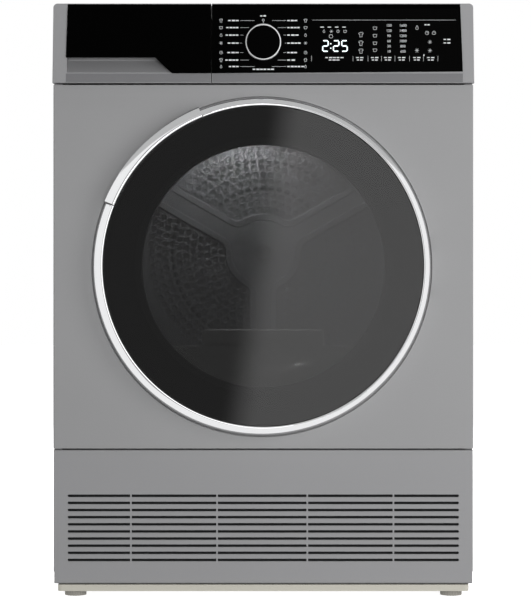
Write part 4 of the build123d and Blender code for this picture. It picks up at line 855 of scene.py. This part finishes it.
@dataclass
class Drum:
    """What is seen through the pane: the perforated rear wall and its three-armed carrier."""

    z: float = 503.0
    wall_y: float = 188.0
    wall_thick: float = 1.2
    wall_r: float = 286.2
    field_from: float = 64.0
    field_to: float = 192.7
    ring_pitch: float = 11.7
    hole_pitch: float = 13.1
    hole_r: float = 4.1
    dish: float = 1.0
    arm_half: float = 22.5
    lip: float = 12.0
    boss_r: float = 64.0
    fillet: float = 16.0
    reach: float = 255.0
    arms: tuple[float, ...] = (30.0, 150.0, 270.0)

    def _tile(self, inner: float, outer: float, count: int) -> bpy.types.Mesh:
        """Makes one sector of a ring of the wall, with its dished air hole.

        Args:
            inner: The ring's inner radius.
            outer: The ring's outer radius.
            count: How many tiles make the ring.

        Returns:
            The tile, in metres, at angle 0 about the origin.
        """
        half = math.pi / count
        edge: list[Flat] = []
        for i in range(4):
            edge.append((outer, half - half * i / 2))
        edge += [(outer, -half), ((inner + outer) / 2, -half)]
        for i in range(4):
            edge.append((inner, -half + half * i / 2))
        edge += [(inner, half), ((inner + outer) / 2, half)]
        middle = (inner + outer) / 2
        points: list[Point] = []
        back = self.wall_thick
        rim = [(r * math.cos(a), r * math.sin(a)) for r, a in edge]
        turns = [math.atan2(z, x - middle) for x, z in rim]
        for radius, y in ((None, 0.0), (self.hole_r + self.dish, 0.0), (self.hole_r, back),
                          (None, back)):
            for (x, z), turn in zip(rim, turns):
                if radius is None:
                    points.append((x, y, z))
                else:
                    points.append((middle + radius * math.cos(turn), y, radius * math.sin(turn)))
        faces = skin(4, 12)
        for i in (0, 1, 2, 3, 6, 7, 8, 9):
            faces.append([36 + i, 36 + i + 1, i + 1, i])
        return mesh_from("wall_tile", points, faces, heal=False)

    def _wall(self) -> bpy.types.Mesh:
        """Gives the rear wall: rings of air holes between a plain middle and a plain rim."""
        made = []
        rings = round((self.field_to - self.field_from) / self.ring_pitch)
        for ring in range(rings):
            inner = self.field_from + ring * self.ring_pitch
            outer = inner + self.ring_pitch
            count = round(math.pi * (inner + outer) / self.hole_pitch)
            numbers = {"Copies": count, "Radius": 0.0, "First Angle": math.pi * ring / count,
                       "Centre": (0.0, self.wall_y * MM, self.z * MM)}
            tiles = Repeater(Repeat.ROUND, self._tile(inner, outer, count), DRUM_STEEL, numbers)
            made.append(tiles.make(f"wall_ring_{ring}"))
        front, back = self.wall_y, self.wall_y + self.wall_thick
        plain = ((10.4, self.field_from), (self.field_to, self.wall_r))
        for inner, outer in plain:
            made.append(lathe("plain_ring", [(inner, front), (outer, front), (outer, back),
                                             (inner, back)], (0.0, self.z), 144))
        wall = merge_meshes("drum_back_wall", made, 2e-5)
        repair(wall)
        return wall

    def _edge(self, first: float, half: float, boss: float, fillet: float) -> list[Flat]:
        """Follows one edge of the carrier, from an arm's tip round the boss to the next arm's tip.

        Args:
            first: Angle of the first arm, in degrees.
            half: Half the arm's width.
            boss: Radius of the boss.
            fillet: Radius of the hollow between arm and boss.

        Returns:
            Points about the drum's axis.
        """
        across = half + fillet
        far = boss + fillet
        lean = math.degrees(math.asin(across / far))
        along = math.sqrt(far ** 2 - across ** 2)
        made: list[Flat] = []
        for side, arm in ((1, first), (-1, first + 120.0)):
            ux, uz = math.cos(math.radians(arm)), math.sin(math.radians(arm))
            cx, cz = ux * along - side * uz * across, uz * along + side * ux * across
            start = arm - side * 90.0
            end = arm + side * lean + 180.0
            turn = (end - start + 180.0) % 360.0 - 180.0
            hollow = arc_points(cx, cz, fillet, start, start + turn, 10)
            run = [along + (self.reach - along) * i / 8 for i in range(8, 0, -1)]
            tip = [(ux * r - side * uz * half, uz * r + side * ux * half) for r in run]
            if side > 0:
                made += tip + hollow
                made += arc_points(0, 0, boss, arm + lean, arm + 120.0 - lean, 16)[1:-1]
            else:
                made += hollow[::-1] + tip[::-1]
        return made

    def _carrier(self) -> bpy.types.Mesh:
        """Gives the pressed carrier: a flat star with a raised bead along each edge."""
        beads = []
        inner_line: list[Flat] = []
        base, crest = self.wall_y - 0.1, self.wall_y - 5.4
        for arm in self.arms:
            rows = []
            for inset, y in ((0.0, base), (1.6, crest), (self.lip - 1.6, crest), (self.lip, base)):
                rows.append([(x, y, z + self.z) for x, z in
                             self._edge(arm, self.arm_half - inset, self.boss_r - inset,
                                        self.fillet + inset)])
            count = len(rows[0])
            points = [p for row in rows for p in row]
            faces = skin(4, count, close_rows=True, close_count=False)
            faces.append([0, count, 2 * count, 3 * count])
            faces.append([4 * count - 1, 3 * count - 1, 2 * count - 1, count - 1])
            beads.append(mesh_from("bead", points, faces))
            inner_line += [(x, z + self.z) for x, z in
                           self._edge(arm, self.arm_half - self.lip + 1.0,
                                      self.boss_r - self.lip + 1.0, self.fillet + self.lip - 1.0)]
        points, faces = prism(inner_line, self.wall_y - 0.1, self.wall_y - 2.2)
        beads.append(mesh_from("star", points, faces))
        return merge_meshes("drum_carrier", beads)

    def build(self) -> None:
        """Builds the wall and its carrier."""
        piece = place_piece("drum_back_wall", self._wall(), DRUM_STEEL, "drum", 30.0)
        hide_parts("drum_rear_wall")
        piece = place_piece("drum_carrier", self._carrier(), DRUM_STEEL, "drum", 30.0)
        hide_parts("drum_spider")


# ---------------------------------------------------------------- control panel


class Mark(Enum):
    """Small signs printed on the panel."""

    SHIRT = "shirt"
    DROP = "drop"
    DIAL = "dial"
    STAR = "star"
    BASKET = "basket"
    PADLOCK = "padlock"


@dataclass
class ControlPanel:
    """Everything printed on or lit behind the black fascia, and the darker strips of painted shade below
    it.
    """

    knob_z: float = 787.4
    knob_clear: float = 31.0
    row_z: tuple[float, ...] = (820.4, 810.4, 799.8, 788.4, 774.9, 764.3, 755.1)
    names_left: tuple[float, ...] = (16.0, 18.5, 19.5, 16.5, 17.0, 20.0, 15.0)
    names_right: tuple[float, ...] = (15.0, 19.0, 17.0, 20.5, 14.5, 12.0, 25.0)
    word_x: float = 34.0
    sign_x: float = 60.0
    ink: float = 0.12
    minutes: tuple[str, ...] = ("150", "120", "90", "60", "30", "10")
    speeds: tuple[str, ...] = ("1600", "1400", "1200", "1000", "800", "600")
    number_top_z: float = 813.3
    number_pitch: float = 7.38
    minutes_x: float = 178.5
    speeds_x: float = 198.4
    shown_time: tuple[tuple[str, float], ...] = (("2", 83.6), ("2", 98.8), ("5", 110.6))
    digit_w: float = 9.4
    digit_h: float = 16.6
    digit_z: float = 776.0
    colon_x: float = 95.9

    def __post_init__(self) -> None:
        """Takes the face of the fascia from its node."""
        self.face_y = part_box("control_fascia")[0].y / MM

    def _words(self, inks: Flats, x: float, z: float, wide: float, high: float = 1.25) -> None:
        """Stands in for a printed name with short strokes of varied length.

        Args:
            inks: The set of shapes.
            x: Left end.
            z: Middle height.
            wide: Whole width.
            high: Height of the strokes.
        """
        pieces = max(1, round(wide / 5.2))
        share = wide / pieces
        for i in range(pieces):
            own = share * (0.84 if i % 3 else 0.7)
            inks.bar(x + share * i + own / 2, z, own, high * (1.0 if i % 2 else 0.86))

    def _mark(self, inks: Flats, mark: Mark, x: float, z: float, size: float = 5.0) -> None:
        """Draws one small sign.

        Args:
            inks: The set of shapes.
            mark: Which sign.
            x: Middle across.
            z: Middle height.
            size: Width and height.
        """
        half, line = size / 2, 0.42
        if mark is Mark.SHIRT:
            outline = [(-0.35, 1), (-1, 0.5), (-0.7, 0.1), (-0.5, 0.25), (-0.5, -1), (0.5, -1),
                       (0.5, 0.25), (0.7, 0.1), (1, 0.5), (0.35, 1), (0, 0.75), (-0.35, 1)]
            inks.stroke([(x + px * half, z + pz * half) for px, pz in outline], line)
        elif mark is Mark.DROP:
            inks.ring(x, z - half * 0.3, half * 0.6, line, 12, -210.0, 30.0)
            inks.stroke([(x - half * 0.52, z), (x, z + half), (x + half * 0.52, z)], line)
        elif mark is Mark.DIAL:
            inks.ring(x, z, half * 0.9, line, 14)
            inks.stroke([(x, z + half * 0.5), (x, z), (x + half * 0.45, z)], line)
        elif mark is Mark.STAR:
            for turn in (0, 60, 120):
                a = math.radians(turn)
                inks.stroke([(x - half * math.cos(a), z - half * math.sin(a)),
                             (x + half * math.cos(a), z + half * math.sin(a))], line)
        elif mark is Mark.BASKET:
            inks.stroke([(x - half, z + half * 0.6), (x - half * 0.7, z - half * 0.8),
                         (x + half * 0.7, z - half * 0.8), (x + half, z + half * 0.6)], line)
            inks.stroke([(x - half, z + half * 0.6), (x + half, z + half * 0.6)], line)
        else:
            inks.bar(x, z - half * 0.35, size * 0.62, size * 0.5)
            inks.ring(x, z + half * 0.1, half * 0.4, line, 8, 0.0, 180.0)

    def _programmes(self, inks: Flats) -> None:
        """Prints the two lists of programmes with a fine line from each to the knob."""
        signs = (Mark.SHIRT, Mark.BASKET, Mark.DROP, Mark.STAR, Mark.DIAL, Mark.SHIRT, Mark.DROP)
        for side, widths in ((-1, self.names_left), (1, self.names_right)):
            for z, wide, sign in zip(self.row_z, widths, signs):
                rise = abs(z - self.knob_z)
                near = 12.5
                if rise < self.knob_clear - 1.0:
                    near = math.sqrt(self.knob_clear ** 2 - rise ** 2)
                inks.stroke([(side * near, z), (side * (self.word_x - 1.5), z)], 0.34)
                left = side * self.word_x if side > 0 else -self.word_x - wide
                self._words(inks, left, z, wide, 1.9)
                self._mark(inks, sign, side * self.sign_x, z, 4.6)
        inks.ring(0.0, 821.0, 1.5, 0.5, 12)
        inks.stroke([(0.0, 819.2), (0.0, 816.6)], 0.5)
        self._words(inks, -4.4, 827.0, 9.0, 1.9)
        self._words(inks, -15.0, 751.2, 31.0, 1.9)

    def _options(self, inks: Flats) -> None:
        """Prints the touch fields on the right: signs, names and dividing lines."""
        for x in (68.4, 127.4, 148.7, 167.8, 187.0, 207.6, 227.5, 248.0):
            inks.bar(x, 766.4, 0.34, 7.6)
        for x in (137.3, 158.6, 177.1, 196.9, 218.3, 238.1):
            self._words(inks, x - 5.6, 767.8, 11.4, 1.5)
            self._words(inks, x - 4.4, 764.4, 9.0, 1.5)
        self._words(inks, 88.0, 767.8, 27.0, 1.6)
        self._words(inks, 93.0, 764.4, 16.0, 1.6)
        inks.bar(171.4, 821.1, 204.4, 0.3)
        for z in (800.5, 788.4, 777.1):
            self._mark(inks, Mark.SHIRT, 138.7, z, 6.6)
        for z in (809.7, 799.1, 788.4, 778.5):
            self._mark(inks, Mark.BASKET, 158.6, z, 5.4)
        self._mark(inks, Mark.DROP, 218.3, 810.4, 6.0)
        self._mark(inks, Mark.STAR, 218.3, 777.8, 6.0)
        self._words(inks, 229.0, 814.4, 8.0, 1.6)
        for x, z, sign in ((232.5, 802.8, Mark.DIAL), (242.4, 802.8, Mark.DIAL),
                           (236.7, 789.9, Mark.STAR), (236.7, 777.8, Mark.STAR)):
            self._mark(inks, sign, x, z, 5.6)
        self._mark(inks, Mark.PADLOCK, 228.2, 771.6, 3.0)
        self._words(inks, 256.0, 793.6, 10.5, 1.6)
        self._words(inks, 256.0, 788.6, 10.5, 1.6)
        for i in range(4):
            self._words(inks, 81.0 + 10.4 * i, 811.1, 7.0, 1.4)
        for x, sign in ((86.2, Mark.DROP), (96.6, Mark.STAR), (106.1, Mark.DIAL),
                        (116.0, Mark.BASKET)):
            self._mark(inks, sign, x, 805.2, 4.4)
        inks.ring(96.1, 798.0, 2.6, 0.5, 14)

    def _numbers(self) -> bpy.types.Mesh:
        """Sets the columns of minutes and spin speeds as flat figures."""
        meshes = []
        for x, column in ((self.minutes_x, self.minutes), (self.speeds_x, self.speeds)):
            for row, figure in enumerate(column):
                text = bpy.data.curves.new("figure", "FONT")
                text.body = figure
                text.align_x = "CENTER"
                text.align_y = "CENTER"
                text.size = 5.2 * MM
                text.resolution_u = 2
                text.extrude = self.ink / 2 * MM
                holder = bpy.data.objects.new("figure", text)
                bpy.context.scene.collection.objects.link(holder)
                graph = bpy.context.evaluated_depsgraph_get()
                mesh = bpy.data.meshes.new_from_object(holder.evaluated_get(graph))
                bpy.data.objects.remove(holder)
                z = self.number_top_z - self.number_pitch * row
                place = Vector((x, self.face_y - self.ink / 2 + INTO_FACE, z)) * MM
                mesh.transform(Matrix.Translation(place) @ Matrix.Rotation(math.pi / 2, 4, "X"))
                meshes.append(mesh)
        return merge_meshes("panel_figures", meshes)

    def _digits(self) -> bpy.types.Mesh:
        """Gives the lit seven-segment time."""
        lit = Flats("lit_time", self.face_y + INTO_FACE, self.face_y - self.ink)
        bars = {"a": (0.5, 1.0, 1), "b": (1.0, 0.75, 0), "c": (1.0, 0.25, 0), "d": (0.5, 0.0, 1),
                "e": (0.0, 0.25, 0), "f": (0.0, 0.75, 0), "g": (0.5, 0.5, 1)}
        shapes = {"2": "abged", "5": "afgcd"}
        thick = 1.7
        for figure, left in self.shown_time:
            for key in shapes[figure]:
                across, up, lying = bars[key]
                x = left + thick / 2 + across * (self.digit_w - thick)
                z = self.digit_z + thick / 2 + up * (self.digit_h - thick)
                long = (self.digit_w - thick if lying else (self.digit_h - thick) / 2) - 0.7
                tip = thick / 2
                half = long / 2
                outline = [(-half, 0), (-half + tip, tip), (half - tip, tip), (half, 0),
                           (half - tip, -tip), (-half + tip, -tip)]
                if lying:
                    lit.shape([(x + u, z + v) for u, v in outline])
                else:
                    lit.shape([(x + v, z - u) for u, v in outline])
        for z in (self.digit_z + 5.2, self.digit_z + 11.4):
            lit.bar(self.colon_x, z, 1.6, 1.6)
        return lit.mesh()

    def build(self) -> None:
        """Builds the print, the lit time and the strips of painted shade."""
        white = Flats("panel_print", self.face_y + INTO_FACE, self.face_y - self.ink)
        self._programmes(white)
        self._options(white)
        # The print and the figures glow faintly: painted light.
        place_piece("panel_print", white.mesh(), GLOWING_PRINT_WHITE, "casing")
        place_piece("panel_figures", self._numbers(), GLOWING_PRINT_WHITE, "casing")
        place_piece("lit_time", self._digits(), LIT_DIGIT, "casing")
        low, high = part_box("control_housing")
        left_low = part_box("tank_drawer_front")[0]
        bottom, top = low.z / MM + 0.9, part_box("control_fascia")[0].z / MM - 0.3
        # Thin darker silver plates over the lower edge of the panel and the drawer front: painted shade.
        strips = (("panel_shade_strip", "casing", low.y, -72.4, high.x / MM - 16.4),
                  ("drawer_shade_strip", "tank_drawer", left_low.y, left_low.x / MM + 19.4, -74.8))
        for name, body, front, x0, x1 in strips:
            shade_plate = Flats(name, front / MM + 0.05, front / MM - 0.35)
            shade_plate.shape(box_outline(x0, x1, bottom, top))
            place_piece(name, shade_plate.mesh(), SHADE_STRIP_SILVER, body)


# ---------------------------------------------------------------- kick plate and foot rail


@dataclass
class Grille:
    """Lips and louvres of the air grille, and the dark screen behind it; the louvres and the screen are
    painted shade.
    """

    rows: int = 10
    pitch: float = 10.16
    top_z: float = 144.5
    slot_h: float = 3.7
    half_w: float = 278.8
    ribs: tuple[float, ...] = (-188.7, -65.9, 62.7, 185.5)
    rib_w: float = 2.3

    def _bars(self, name: str, section: Sequence[Flat]) -> bpy.types.Mesh:
        """Gives one row of bars between the ribs, about height 0.

        Args:
            name: The mesh's name.
            section: (y, z) corners of a bar's cross-section.

        Returns:
            The row, in metres.
        """
        points: list[Point] = []
        faces: list[list[int]] = []
        edges = [-self.half_w - self.rib_w / 2, *self.ribs, self.half_w + self.rib_w / 2]
        count = len(section)
        for x0, x1 in zip(edges, edges[1:]):
            start = len(points)
            inset = self.rib_w / 2 + 0.4
            points += [(x0 + inset, y, z) for y, z in section]
            points += [(x1 - inset, y, z) for y, z in section]
            ends = [list(range(count)), list(range(2 * count - 1, count - 1, -1))]
            faces += [[start + i for i in face] for face in ends + skin(2, count)]
        return mesh_from(name, points, faces)

    def _rows(self, name: str, section: Sequence[Flat], finish: Finish) -> bpy.types.Mesh:
        """Repeats a row of bars down the grille by Geometry Nodes.

        Args:
            name: The mesh's name.
            section: (y, z) corners of a bar's cross-section.
            finish: The bars' finish.

        Returns:
            All rows.
        """
        middle = self.top_z - self.pitch * (self.rows - 1) / 2
        numbers = {"Columns": 1, "Rows": self.rows, "Column Pitch": 0.0,
                   "Row Pitch": self.pitch * MM, "Centre": (0.0, 0.0, middle * MM)}
        return Repeater(Repeat.GRID, self._bars(name, section), finish, numbers).make(name)

    def build(self) -> None:
        """Builds the grille's small pieces."""
        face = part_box("kick_plate")[0].y / MM
        half = self.slot_h / 2
        lip = [(face + 0.3, -half + 0.05), (face - 0.35, -half - 0.15), (face - 0.35, -half - 0.75),
               (face + 0.3, -half - 1.1)]
        place_piece("grille_lips", self._rows("grille_lips", lip, SILVER_ABS), SILVER_ABS,
                    "kick_plate")
        # The louvres are near-black: painted shade in the slots.
        blade = [(face + 2.2, half + 0.4), (face + 2.7, half + 1.6), (face + 6.0, -half + 0.6),
                 (face + 5.5, -half - 0.6)]
        place_piece("grille_louvres", self._rows("grille_louvres", blade, SHADE_GAP), SHADE_GAP,
                    "kick_plate")
        # A near-black sheet behind the slots: painted shade.
        screen = Flats("shade_screen", face + 8.4, face + 6.9)
        low = self.top_z - self.pitch * self.rows
        screen.shape(box_outline(-self.half_w - 4, self.half_w + 4, low, self.top_z + 7))
        place_piece("shade_screen", screen.mesh(), SHADE_GAP, "kick_plate")


@dataclass
class Back:
    """Screws down both edges of the rear sheet."""

    columns: int = 2
    rows: int = 5
    margin: float = 15.0

    def _screw(self) -> bpy.types.Mesh:
        """Gives a hexagon-head sheet-metal screw that points to the rear."""
        return lathe("rear_screw", [(0, 0.0), (5.2, 0.0), (5.2, 0.8), (3.9, 1.2), (3.7, 3.4),
                                    (3.0, 3.9), (0, 3.9)], (0.0, 0.0), 12)

    def build(self) -> None:
        """Builds the screws, with Geometry Nodes."""
        low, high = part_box("rear_panel")
        inside = high - low - Vector((1.0, 0.0, 1.0)) * 2 * self.margin * MM
        grid = {"Columns": self.columns, "Rows": self.rows,
                "Column Pitch": inside.x / (self.columns - 1),
                "Row Pitch": inside.z / (self.rows - 1),
                "Centre": (0.0, high.y - 0.0001, (low.z + high.z) / 2)}
        rim = Repeater(Repeat.GRID, self._screw(), GROUND_STEEL, grid).make("rear_sheet_screws")
        place_piece("rear_sheet_screws", rim, GROUND_STEEL, "casing")


# ---------------------------------------------------------------- finishes of the nodes


def dress_nodes() -> None:
    """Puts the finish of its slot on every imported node."""
    slots = {row["node"]: row["material_slot"] for row in frame["record"]["subparts"]}
    for name, node in NODES.items():
        finish = SLOT_FINISH[slots[name]]
        node.data.materials.clear()
        node.data.materials.append(PAINT.of(finish))
        LOG.info("%s: %s", name, finish.title)


# ---------------------------------------------------------------- studio


@dataclass(frozen=True)
class SoftBox:
    """One area lamp: its place and aim in millimetres, and whether metal mirrors it."""

    name: str
    place: Point
    aim: Point
    size_m: Flat
    watts: float
    in_gloss: bool = False


@dataclass
class Studio:
    """Floor, world, lamps and camera."""

    lamps: tuple[SoftBox, ...] = (
        SoftBox("front_soft_box", (150, -3400, 620), (0, -260, 450), (0.9, 0.9), 46.0),
        SoftBox("right_soft_box", (1150, -1560, 560), (0, -260, 450), (1.0, 1.2), 10.0),
        SoftBox("top_soft_box", (0, 200, 2700), (0, 0, 800), (2.0, 2.0), 30.0),
        SoftBox("left_side_box", (-2900, 300, 900), (0, 0, 450), (1.4, 1.4), 22.0),
        SoftBox("right_side_box", (2900, 300, 900), (0, 0, 450), (1.4, 1.4), 26.0),
        SoftBox("back_soft_box", (400, 3200, 1100), (0, 280, 450), (1.6, 1.4), 30.0),
        SoftBox("drum_glow", (-60, -110, 730), (0, 190, 430), (0.16, 0.04), 2.0, True),
    )

    eye_distance: float = 2750.0
    eye_z: float = 423.5
    view_height: float = 855.0
    shift: float = 2.2 / 600.0
    sensor: float = 36.0
    sky_fill: float = 0.22
    wall_shine: float = 1.0
    ceiling_shine: float = 0.55
    card_shine: float = 0.4
    bright_card: float = 2.0
    card_lean: float = -0.153
    card_edge: Flat = (0.5, 0.44)
    floor_size: float = 30.0

    def _within(self, tree: bpy.types.NodeTree,
                edges: Sequence[tuple[bpy.types.NodeSocket, float, float]]) -> bpy.types.NodeSocket:
        """Multiplies soft steps into the mask of a card.

        Args:
            tree: The world's tree.
            edges: A socket and its values outside and inside each edge.

        Returns:
            A socket that is 1 within all the edges and 0 outside.
        """
        steps = [add_node(tree, "ShaderNodeMapRange", {"interpolation_type": "SMOOTHSTEP"},
                          {"Value": source, "From Min": outer, "From Max": inner}).outputs[0]
                 for source, outer, inner in edges]
        mask = steps[0]
        for step in steps[1:]:
            mask = maths(tree, "MULTIPLY", mask, step)
        return mask

    def _world(self) -> None:
        """Makes a white world whose gloss shows dark cards behind the camera's left."""
        world = bpy.data.worlds.new("white_cyclorama")
        bpy.context.scene.world = world
        world.use_nodes = True
        tree = world.node_tree
        tree.nodes.clear()
        way = add_node(tree, "ShaderNodeTexCoord").outputs["Generated"]
        parts = add_node(tree, "ShaderNodeSeparateXYZ", None, {0: way})
        lean = maths(tree, "MULTIPLY_ADD", parts.outputs[2], self.card_lean, parts.outputs[0])
        sides = [maths(tree, "ABSOLUTE", parts.outputs[axis]) for axis in (0, 2)]
        facing = self._within(tree, (*((side, *self.card_edge) for side in sides),
                                     (parts.outputs[1], 0.1, -0.1)))
        dark = self._within(tree, ((lean, 0.035, -0.045), (facing, 0.0, 1.0)))
        ceiling = add_node(tree, "ShaderNodeMapRange", None,
                           {"Value": parts.outputs[2], "From Min": 0.55, "From Max": 0.58,
                            "To Min": self.wall_shine, "To Max": self.ceiling_shine})
        lit = add_node(tree, "ShaderNodeMix", {"data_type": "FLOAT"},
                       {0: facing, 2: ceiling.outputs[0], 3: self.bright_card})
        gloss = add_node(tree, "ShaderNodeMix", {"data_type": "FLOAT"},
                         {0: dark, 2: lit.outputs[0], 3: self.card_shine})
        ray = add_node(tree, "ShaderNodeLightPath")
        soft = add_node(tree, "ShaderNodeMix", {"data_type": "FLOAT"},
                        {0: ray.outputs["Is Camera Ray"], 2: self.sky_fill, 3: 1.0})
        power = add_node(tree, "ShaderNodeMix", {"data_type": "FLOAT"},
                         {0: ray.outputs["Is Glossy Ray"], 2: soft.outputs[0], 3: gloss.outputs[0]})
        sky = add_node(tree, "ShaderNodeBackground", None,
                       {"Color": (1.0, 1.0, 1.0, 1.0), "Strength": power.outputs[0]})
        add_node(tree, "ShaderNodeOutputWorld", None, {0: sky.outputs[0]})

    def _floor(self) -> None:
        """Lays a pale floor, a little lit from within like a light table."""
        half = self.floor_size / 2 / MM
        mesh = mesh_from("studio_floor", [(-half, -half, 0), (half, -half, 0), (half, half, 0),
                                          (-half, half, 0)], [[0, 1, 2, 3]], heal=False)
        pale = Finish("white_matt_floor_paint", "f4f4f4", "f0f0f0", Grain.SPRAYED, 6.0, 0.9,
                      specular=0.0, glow=0.95)
        mesh.materials.append(PAINT.of(pale))
        floor = bpy.data.objects.new("studio_floor", mesh)
        bpy.context.scene.collection.objects.link(floor)
        floor.visible_glossy = False
        floor.visible_diffuse = False

    def _hang(self, lamp: SoftBox) -> None:
        """Hangs one soft box, which the camera never sees."""
        data = bpy.data.lights.new(lamp.name, "AREA")
        data.shape = "RECTANGLE"
        data.size, data.size_y = lamp.size_m
        data.energy = lamp.watts
        hung = bpy.data.objects.new(lamp.name, data)
        spot, target = Vector(lamp.place) * MM, Vector(lamp.aim) * MM
        hung.location = spot
        hung.rotation_euler = (target - spot).to_track_quat("-Z", "Y").to_euler()
        hung.visible_glossy = lamp.in_gloss
        hung.visible_camera = False
        bpy.context.scene.collection.objects.link(hung)

    def _camera(self) -> None:
        """Stands the camera square to the front."""
        data = bpy.data.cameras.new("front_camera")
        data.sensor_width = self.sensor
        data.lens = self.sensor * self.eye_distance / self.view_height
        data.shift_x = self.shift
        data.clip_end = 100.0
        camera = bpy.data.objects.new("front_camera", data)
        front_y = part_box("front_panel")[0].y / MM
        camera.location = Vector((0.0, front_y - self.eye_distance, self.eye_z)) * MM
        camera.rotation_euler = (math.pi / 2, 0.0, 0.0)
        bpy.context.scene.collection.objects.link(camera)
        bpy.context.scene.camera = camera

    def build(self) -> None:
        """Sets the whole studio."""
        bpy.context.scene.view_settings.view_transform = "Standard"
        self._world()
        self._floor()
        for lamp in self.lamps:
            self._hang(lamp)
        self._camera()


def main() -> None:
    """Builds the machine and the studio round it."""
    logging.basicConfig(level=logging.INFO, format="%(name)s: %(message)s")
    dress_nodes()
    Door().build()
    Drum().build()
    ControlPanel().build()
    Grille().build()
    Back().build()
    Studio().build()


if __name__ == "__main__":
    main()
